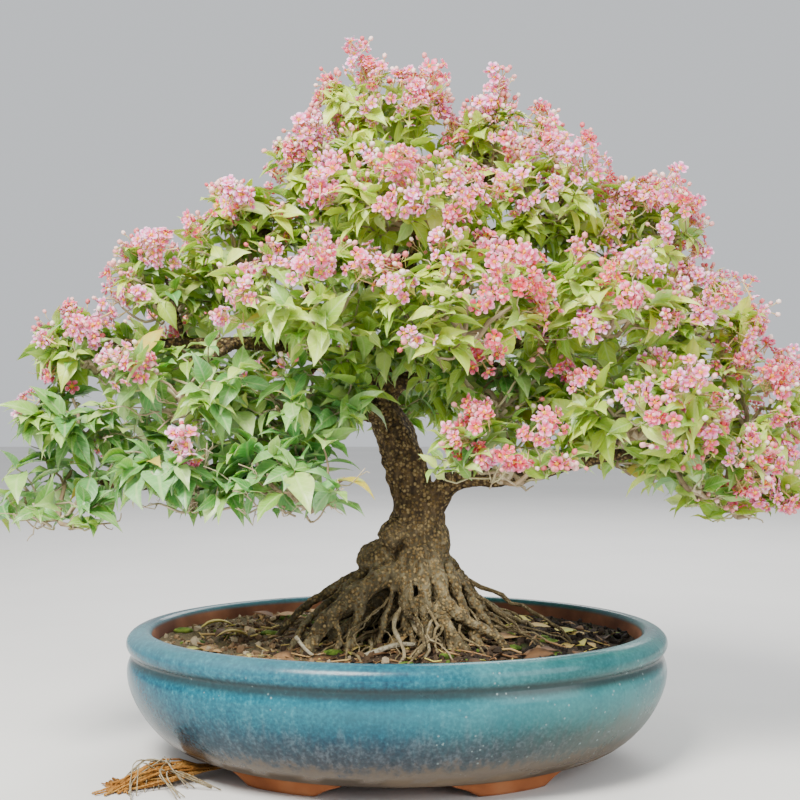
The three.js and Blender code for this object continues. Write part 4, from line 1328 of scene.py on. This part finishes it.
# The root mat from the left drain hole on, in mm from the pot's middle: place, and how far it spreads
MAT_ROUTE = [
    ((-95, -2, 9), 3), ((-100, -6, 6.5), 3.5), ((-120, -22, 6), 4), ((-150, -46, 6), 4.2),
    ((-177, -70, 7), 4.6), ((-205, -93, 11), 11), ((-226, -105, 8), 9), ((-240, -112, 4), 6),
]


def mat_fibre(random, route, spread):
    """One fibre along the mat, which may trail on over what the pot stands on."""
    first = random.integers(0, 4)
    aside = random.normal(0, 0.55, 3)
    points = []
    for place, wide in zip(route[first:], spread[first:]):
        offset = aside * wide + random.normal(0, 0.22, 3) * wide
        offset[2] *= 0.62 if wide > 0.006 else 0.35
        spot = place + offset
        spot[2] = max(spot[2], 0.0018)
        points.append(spot)
    if random.random() < 0.5:
        end = points[-1] + np.array([random.uniform(-0.020, 0.004), random.uniform(-0.022, 0.030), 0])
        end[2] = 0.0016
        points.append(end)
    line = resample(points, 14) + POT_CENTRE
    radius, tint = random.uniform(0.00045, 0.0011), random.uniform(0.25, 0.85)
    return tube(line, radius, 4, tint=tint, fibre=1.0)


def mat_rootlet(random):
    """A thin pale rootlet that arches out of the mat's end and comes down again."""
    heading = random.uniform(math.pi * 0.85, math.pi * 1.75)
    start = np.array([-0.205, -0.094, 0.014]) + random.normal(0, 0.005, 3)
    reach = random.uniform(0.025, 0.055)
    middle = start + level_way(heading) * reach * 0.55
    middle[2] = random.uniform(0.010, 0.024)
    end = start + level_way(heading + 0.5) * reach
    end[2] = 0.0012
    line = resample([start, middle, end], 10) + POT_CENTRE
    return tube(line, 0.0006, 4, tint=random.uniform(0.8, 1.0), fibre=0.0)


def make_escaped_roots(material):
    """The mat of fibrous roots that came out of a drain hole and lies at the pot's left end."""
    random = draws("escaped_roots")
    route, spread = (np.array(column) * MM for column in zip(*MAT_ROUTE))
    strands = [mat_fibre(random, route, spread) for _ in range(FIBRE_COUNT)]
    strands += [mat_rootlet(random) for _ in range(ROOTLET_COUNT)]
    return dress(piece_of("escaped_root_mat", together(strands)), material, "root", "escaped_roots")


# Foliage and flowers


def corners_of(node):
    """The lowest and the highest corner of a node's box, as arrays."""
    return [np.array(corner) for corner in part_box(node)]


def mass_box(name):
    """The middle of a mass and its half-sizes."""
    low, high = corners_of(f"leaves_{name}")
    return (low + high) / 2, (high - low) / 2


# The tint of a flower stalk, from 0 for brown to 1 for green
GREEN_STALK = 0.8


def taper(line, thick, thin, sides, tint):
    """A twig along a line, thinner towards its end."""
    return tube(line, np.linspace(thick, thin, len(line)), sides, tint=tint)


class Foliage:
    """Gathers the leaves of one mass, and then makes them one piece."""

    def __init__(self, random, length, maturity, floor=0.0):
        self.random, self.length, self.maturity, self.floor = random, length, maturity, floor
        self.places, self.ways, self.ups, self.lengths = [], [], [], []

    def add(self, place, way, up, share):
        """A leaf, unless it would hang below the mass's floor."""
        if place[2] + (way[2] - 0.20) * self.length * share < self.floor:
            return
        self.places.append(place)
        self.ways.append(way)
        self.ups.append(up)
        self.lengths.append(self.length * share)

    def add_pair(self, place, along, turn, outward, share):
        """Two opposite leaves at a joint of a twig, the pair turned round the twig."""
        random = self.random
        side = unit(np.cross(along, [0.02, 0, 1.0]) + random.normal(0, 0.12, 3))
        pair = side * math.cos(turn) + np.cross(along, side) * math.sin(turn)
        for sign in (-1, 1):
            way = unit(along * random.uniform(0.25, 0.65) + sign * pair + random.normal(0, 0.16, 3))
            way[2] = way[2] * 0.6 - random.uniform(0.0, 0.40) * (0.35 + self.maturity)
            up = UP + 0.65 * outward + random.normal(0, 0.30, 3)
            self.add(place, way, up, share * random.uniform(0.72, 1.18))

    def clothe(self, line, outward, spacing, first=0.22):
        """Pairs of leaves along a twig, each pair turned from the last, and a tuft at its tip."""
        random, last = self.random, len(line) - 1
        steps = max(2, int(np.linalg.norm(line[-1] - line[0]) / spacing))
        for step in range(steps):
            share = first + (0.96 - first) * (step + random.uniform(0.3, 0.7)) / steps
            k, rest = int(share * last), share * last % 1
            along = unit(line[k + 1] - line[k])
            place = line[k] * (1 - rest) + line[k + 1] * rest
            turn = step * math.pi / 2 + random.normal(0, 0.35)
            self.add_pair(place, along, turn, outward, 0.72 + 0.36 * share)
        along = unit(line[-1] - line[-2])
        self.add_pair(line[-1], along, random.uniform(0, 3.14), outward, 0.62)
        up = UP + 0.4 * outward
        self.add(line[-1], unit(along + random.normal(0, 0.2, 3)), up, 0.6)

    def finish(self, name, shape, material, middle, half, *nodes):
        """The piece. Each leaf droops, curves and folds its own way, and the inner ones are older."""
        random, count = self.random, len(self.places)
        droop = random.uniform(0.04, 0.26 + 0.22 * self.maturity, count)[:, None]
        drip = random.uniform(0.0, 1.6, count)[:, None]
        sickle = random.normal(0, 0.07, count)[:, None]
        width = random.uniform(0.78, 1.10, count)[:, None]
        fold = random.uniform(-0.10, 0.26, count)[:, None]
        wave = random.uniform(0.0, 0.05, count)[:, None]
        phase = random.uniform(0, 6.28, count)[:, None]
        twist = random.normal(0, 0.35, count)[:, None]

        def bend(local):
            x, y = local[:, :, 0].copy(), local[:, :, 1] * width
            local[:, :, 1] = y + sickle * np.clip(x, 0, 2) ** 2
            local[:, :, 2] -= droop * np.clip(x, 0, 2) ** 2.2 + drip * np.clip(x - 0.72, 0, 1) ** 2
            local[:, :, 2] += wave * np.sin(x * 11 + phase) * np.abs(y) * 4
            local[:, :, 2] += twist * x * y + fold * np.abs(y)
            return local

        outside = np.clip(np.linalg.norm((np.array(self.places) - middle) / half, axis=1), 0, 1.1)
        age = np.clip(self.maturity + 0.55 * (0.8 - outside) + random.normal(0, 0.18, count), 0, 1)
        tint = np.where(random.random(count) < 0.008, 1.0, random.beta(2, 2, count) * 0.96)
        leaves = copies(
            shape, turns_along(self.ways, self.ups), self.lengths, self.places, bend, age=age, tint=tint
        )
        return dress(piece_of(name, leaves, sharp_from=LEAF_CREASE), material, "leaf", *nodes)


def bare_twig(start, end, random, thick):
    """A crooked twig without leaves, with two short forks."""
    line = crooked(start, end, random, 0.0034, 10)
    tint = random.uniform(0.40, 0.70)
    twigs = [taper(line, thick, 0.4 * thick, 4, tint)]
    along = unit(line[-1] - line[0])
    for k in random.choice([4, 5, 6, 7], 2, replace=False):
        tip = line[k] + unit(along + random.normal(0, 0.8, 3)) * random.uniform(0.010, 0.026)
        fork = crooked(line[k], tip, random, 0.0012, 5)
        twigs.append(taper(fork, 0.5 * thick, 0.3 * thick, 3, tint))
    return twigs


# Masses under which the wood shows: the height in metres below which no leaf hangs
BARE_BELOW = {
    "inner_right": 0.280, "fork_right": 0.330, "back_low": 0.300, "low_right": 0.278,
    "reach_right": 0.252, "tip_right": 0.234, "edge_right": 0.262, "rear_low_right": 0.262,
    "inner_left": 0.240, "low_left": 0.236, "tip_left": 0.224, "edge_low_left": 0.262,
    "rear_low_left": 0.262,
}

# A mass whose leaves are more mature than this is open, with fewer twigs and larger leaves
OPEN_FROM = 0.55


class Mass:
    """One foliage mass: its box, its own random draws, and the twigs that grow in it."""

    def __init__(self, name):
        self.name = name
        self.bloom, self.leaf_length, self.maturity, self.deep, self.branchlets = MASSES[name]
        self.random = draws("mass", list(MASSES).index(name))
        self.middle, self.half = mass_box(name)
        self.hub = self.middle - 0.42 * self.half[2] * UP
        self.outward = unit(self.middle - CROWN_MIDDLE)
        self.floor = BARE_BELOW.get(name, 0.0)
        self.is_open = self.maturity > OPEN_FROM
        self.twigs, self.joints = [], []

    def grow_leaves(self, leaves, material):
        """Branchlets spread from the hub, each with its leafy twigs."""
        random, middle, half = self.random, self.middle, self.half
        foliage = Foliage(random, self.leaf_length, self.maturity, self.floor)
        spacing = (0.0080 if self.is_open else 0.0055) + 0.17 * self.leaf_length
        ways = even_ways(self.branchlets) * np.array([1, 1, 0.75])
        for way in unit(ways + random.normal(0, 0.16, ways.shape)):
            fork = middle + way * half * random.uniform(0.42, 0.56) - 0.06 * half[2] * UP
            branchlet = crooked(self.hub, fork, random, 0.0034, 9)
            self.twigs.append(taper(branchlet, 0.0026, 0.0015, 5, random.uniform(0.25, 0.65)))
            for _ in range(3 if self.is_open else 4):
                self.grow_twig(branchlet, way, foliage, spacing)
        leaf = leaves["large" if self.is_open else "small"]
        foliage.finish(f"leaf_spray_{self.name}", leaf, material, middle, half, f"leaves_{self.name}")

    def grow_twig(self, branchlet, way, foliage, spacing):
        """A leafy twig from the outer half of a branchlet to the outside of the mass."""
        random = self.random
        tip = unit(way + random.normal(0, 0.62, 3) + 0.10 * UP)
        start = branchlet[random.integers(4, 9)]
        end = self.middle + tip * (self.half - 0.42 * self.leaf_length) * random.uniform(0.80, 1.0)
        end[2] = max(end[2], self.middle[2] - 0.50 * self.half[2])
        if np.linalg.norm(end - start) < 0.012:
            return
        line = crooked(start, end, random, 0.0026, 7)
        self.twigs.append(taper(line, 0.0014, 0.0007, 3, random.uniform(0.3, 0.95)))
        foliage.clothe(line, tip, spacing)
        self.joints.append((line[-2], tip))

    def grow_bare_twigs(self):
        """Twigs without leaves in the front of a mass, more of them where it is mature and open."""
        random, middle, half = self.random, self.middle, self.half
        if self.floor and not self.is_open:
            return
        for _ in range(int(1 + 8 * self.maturity)):
            way = unit([random.normal(0, 0.9), random.uniform(-1.2, 0.2), random.uniform(-0.9, 0.5)])
            end = middle + way * half * random.uniform(0.80, 1.0)
            end[2] = max(end[2], middle[2] - 0.75 * half[2], self.floor + 0.014)
            start, thick = self.hub + way * half * 0.2, random.uniform(0.0009, 0.0017)
            self.twigs += bare_twig(start, end, random, thick)

    def grow_blooms(self, flower, bud, materials):
        """Bunches of flowers where the mass is seen most, and tufts of buds at its outermost twigs."""
        random, middle, half, bloom = self.random, self.middle, self.half, self.bloom
        ways = even_ways(int(14 + 16 * bloom))
        ways = unit(ways + random.normal(0, 0.16, ways.shape))
        seen = ways @ self.outward + 0.45 * ways[:, 2] + random.normal(0, 0.22, len(ways))
        bunch_count = round(len(ways) * (0.10 + 0.50 * bloom) * min(1, bloom * 3))
        lowest, highest = middle - half + 0.006, middle + half - 0.006
        lowest[2] = max(lowest[2], self.floor + 0.012)
        blooms = Bunches(random, flower, bud, self.deep, lowest, highest)
        for way in ways[np.argsort(-seen)][:bunch_count]:
            spot = np.maximum(middle + way * (half - 0.010) * random.uniform(0.78, 0.94), lowest)
            start, _ = min(self.joints, key=lambda joint: np.linalg.norm(joint[0] - spot))
            stalk = crooked(start, spot, random, 0.0015, 5)
            self.twigs.append(taper(stalk, 0.0010, 0.0006, 3, GREEN_STALK))
            facing = unit(way + 0.3 * self.outward + 0.15 * UP)
            blooms.add(spot, facing, random.integers(5, 11), random.integers(1, 5))
        outness = [way @ self.outward + 0.6 * way[2] + random.normal(0, 0.35) for _, way in self.joints]
        for k in np.argsort(outness)[::-1][: int(12 * bloom)]:
            place, way = self.joints[k]
            facing = unit(way + 0.3 * self.outward + 0.3 * UP)
            blooms.add(place + 0.006 * way, facing, 0, random.integers(3, 6))
        blooms.finish(f"blossom_{self.name}", f"buds_{self.name}", materials)


def make_mass(name, leaves, flower, bud, materials):
    """The leaves, flowers and buds of one foliage mass. Its twigs are given back as a shape."""
    mass = Mass(name)
    mass.grow_leaves(leaves, materials["leaf"])
    mass.grow_bare_twigs()
    mass.grow_blooms(flower, bud, materials)
    return together(mass.twigs)


# Leafy twigs along the wood between the masses, from the pot's middle in mm: place, reach, how mature
SPRAYS = [
    (-6, -52, 398, 44, 0.45), (26, -58, 392, 42, 0.40), (-44, -66, 388, 44, 0.50),
    (-6, -30, 430, 46, 0.35), (60, -46, 420, 44, 0.35), (112, -46, 330, 42, 0.45),
    (84, -30, 470, 46, 0.25), (-60, -40, 470, 46, 0.30), (40, -50, 500, 46, 0.20),
    (150, -60, 392, 42, 0.35), (-120, -60, 440, 44, 0.40), (10, 40, 520, 46, 0.30),
    (-30, -30, 530, 44, 0.20), (120, -40, 484, 44, 0.22), (250, -60, 372, 40, 0.35),
    (-150, -60, 340, 40, 0.60), (34, 0, 560, 44, 0.15), (-4, -24, 572, 40, 0.15),
    (142, -20, 500, 44, 0.25), (176, -40, 484, 42, 0.30), (-110, -40, 520, 40, 0.25),
    (60, -10, 540, 44, 0.20),
]


def make_sprays(leaf, material):
    """Leafy twigs that fill in between the masses."""
    random = draws("sprays")
    foliage = Foliage(random, 0.031, 0.35)
    twigs = []
    for x, y, z, reach, maturity in SPRAYS:
        middle = POT_CENTRE + np.array([x, y, z]) * MM
        foliage.maturity = maturity
        foliage.length = 0.026 + 0.014 * maturity
        for way in unit(even_ways(9) * np.array([1, 1, 0.8]) + random.normal(0, 0.2, (9, 3))):
            line = crooked(middle, middle + way * reach * MM * random.uniform(0.6, 1.0), random, 0.0024, 7)
            twigs.append(taper(line, 0.0015, 0.0008, 3, random.uniform(0.3, 0.9)))
            foliage.clothe(line, way, 0.0125, 0.30)
    foliage.maturity = 0.36
    foliage.finish("leaf_spray_inner", leaf, material, CROWN_MIDDLE, np.array([0.3, 0.2, 0.25]))
    return together(twigs)


# Smallest and largest radius
FLOWER_RADII = (0.0054, 0.0080)
BUD_RADII = (0.0019, 0.0029)


class Bunches:
    """Gathers flowers and buds, and then makes their pieces."""

    def __init__(self, random, flower, bud, deep, low, high):
        self.random, self.flower, self.bud, self.deep = random, flower, bud, deep
        self.low, self.high = low, high
        self.flowers, self.buds = [], []

    def add(self, spot, way, flower_count, bud_count):
        """A bunch round a spot, its flowers about one pink, its buds further out."""
        random = self.random
        blush = np.clip(self.deep - 0.10 + random.normal(0, 0.34), 0, 1)
        for _ in range(flower_count):
            facing = unit(way + random.normal(0, 0.62, 3))
            size = random.uniform(*FLOWER_RADII)
            place = spot + facing * random.uniform(0.007, 0.019) + random.normal(0, 0.0030, 3)
            turned = unit(facing + random.normal(0, 0.35, 3))
            place = np.clip(place, self.low, self.high)
            self.flowers.append((place, turned, size, np.clip(blush + random.normal(0, 0.16), 0, 1)))
        for _ in range(bud_count):
            facing = unit(way + random.normal(0, 0.70, 3) + 0.25 * UP)
            size = random.uniform(*BUD_RADII)
            place = spot + facing * random.uniform(0.012, 0.023)
            place = np.clip(place, self.low - 0.004, self.high + 0.004)
            self.buds.append((place, facing, size, random.random()))

    def finish(self, flower_name, bud_name, materials, *nodes):
        """The pieces, of which the flowers stand for the nodes."""
        for name, shape, found, material in (
            (flower_name, self.flower, self.flowers, materials["petal"]),
            (bud_name, self.bud, self.buds, materials["bud"]),
        ):
            if not found:
                continue
            spots, ways, sizes, blush = (np.array(column) for column in zip(*found))
            many = copies(shape, turns_up(ways, self.random), sizes, spots, blush=blush)
            piece = piece_of(name, many, is_smooth=shape is self.bud)
            dress(piece, material, "petal", *(nodes if shape is self.flower else ()))


def make_shoots(flower, bud, materials):
    """Flowers along the end of each flowering shoot, where its solid is."""
    nodes = sorted(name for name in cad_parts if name.startswith("flowers_"))
    mass_middles = {name: mass_box(name)[0] for name in MASSES}
    stalks = []
    for k, node in enumerate(nodes):
        random = draws("shoot", k)
        low, high = corners_of(node)
        middle = (low + high) / 2
        nearest = min(MASSES, key=lambda name: np.linalg.norm(mass_middles[name] - middle))
        way = unit(middle - mass_middles[nearest])
        seat = middle - way * 0.030
        head = middle + way * 0.002
        stalk = crooked(seat, head, random, 0.0016, 6)
        stalks.append(taper(stalk, 0.0013, 0.0008, 5, GREEN_STALK))
        blooms = Bunches(random, flower, bud, MASSES[nearest][3], low + 0.003, high - 0.003)
        blooms.add(head, way, 6, 5)
        for back in (0.009, 0.017, 0.026):
            aside = unit(way * 0.5 + random.normal(0, 0.6, 3))
            blooms.add(head - way * back, aside, 4, 1)
        blooms.finish(f"shoot_{node[-2:]}", f"shoot_buds_{node[-2:]}", materials, node)
    return together(stalks)


def make_camera():
    data = bpy.data.cameras.new("photo_camera")
    data.lens = CAMERA_LENS
    data.sensor_width = 36
    data.clip_start, data.clip_end = 0.01, 50
    camera = new_object("photo_camera", data)
    camera.location = (POT_CENTRE[0] + CAMERA_ASIDE, POT_CENTRE[1] - CAMERA_DISTANCE, CAMERA_HEIGHT)
    camera.rotation_euler = (math.pi / 2 - CAMERA_TILT, 0, 0)
    bpy.context.scene.camera = camera


def make_light(name, place, aim, size, watts, colour):
    data = bpy.data.lights.new(name, "AREA")
    data.shape = "SQUARE"
    data.size = size
    data.energy = watts
    data.color = colour
    light = new_object(name, data)
    light.location = place
    light.rotation_euler = (Vector(aim) - Vector(place)).to_track_quat("-Z", "Y").to_euler()


# Soft lights: place, aim, size, watts and colour
LIGHTS = {
    "key": ((-0.65, -1.25, 1.80), (0, 0, 0.45), 0.75, 106, (1.0, 0.97, 0.91)),
    "fill": ((1.9, -1.6, 1.0), (0, 0, 0.25), 1.6, 36, (0.94, 0.97, 1.0)),
    "back": ((0.6, 1.9, 1.9), (0, 0, 0.4), 1.4, 48, (1.0, 1.0, 1.0)),
}


def make_studio():
    """A pale floor, pale air and three soft lights."""
    bpy.ops.mesh.primitive_plane_add(size=14, location=(0, 0, 0))
    floor = bpy.context.active_object
    floor.name = "studio_floor"
    floor.data.materials.append(floor_material())
    world = bpy.data.worlds.new("studio_air")
    world.use_nodes = True
    air = world.node_tree.nodes["Background"].inputs
    air["Color"].default_value = (0.88, 0.91, 0.95, 1)
    air["Strength"].default_value = 0.82
    bpy.context.scene.world = world
    for name, light in LIGHTS.items():
        make_light(name, *light)


deselect_all()
make_camera()
make_studio()
make_grain_group()
make_cork_group()
finishes = {
    "leaf": leaf_material(),
    "petal": petal_material(),
    "bud": bud_material(),
    "twig": twig_material(),
    "litter": litter_material(),
    "root": root_material(),
}
leaf_shapes = {"small": make_leaf(SMALL_LEAF), "large": make_leaf(LARGE_LEAF)}
flower_shape = make_flower()
bud_shape = make_bud()

make_pot(glaze_material())
make_soil(soil_material())
make_crumbs(make_crumb(), crumb_material())
make_litter(leaf_shapes["small"], finishes["litter"])
make_fallen_leaves(leaf_shapes["large"], finishes["litter"])
make_moss(moss_material())
make_trunk(bark_material())
make_surface_roots(finishes["root"])
make_escaped_roots(finishes["root"])
all_twigs = [make_mass(name, leaf_shapes, flower_shape, bud_shape, finishes) for name in MASSES]
all_twigs.append(make_sprays(leaf_shapes["small"], finishes["leaf"]))
all_twigs.append(make_shoots(flower_shape, bud_shape, finishes))
dress(piece_of("fine_twigs", together(all_twigs)), finishes["twig"], "bark")
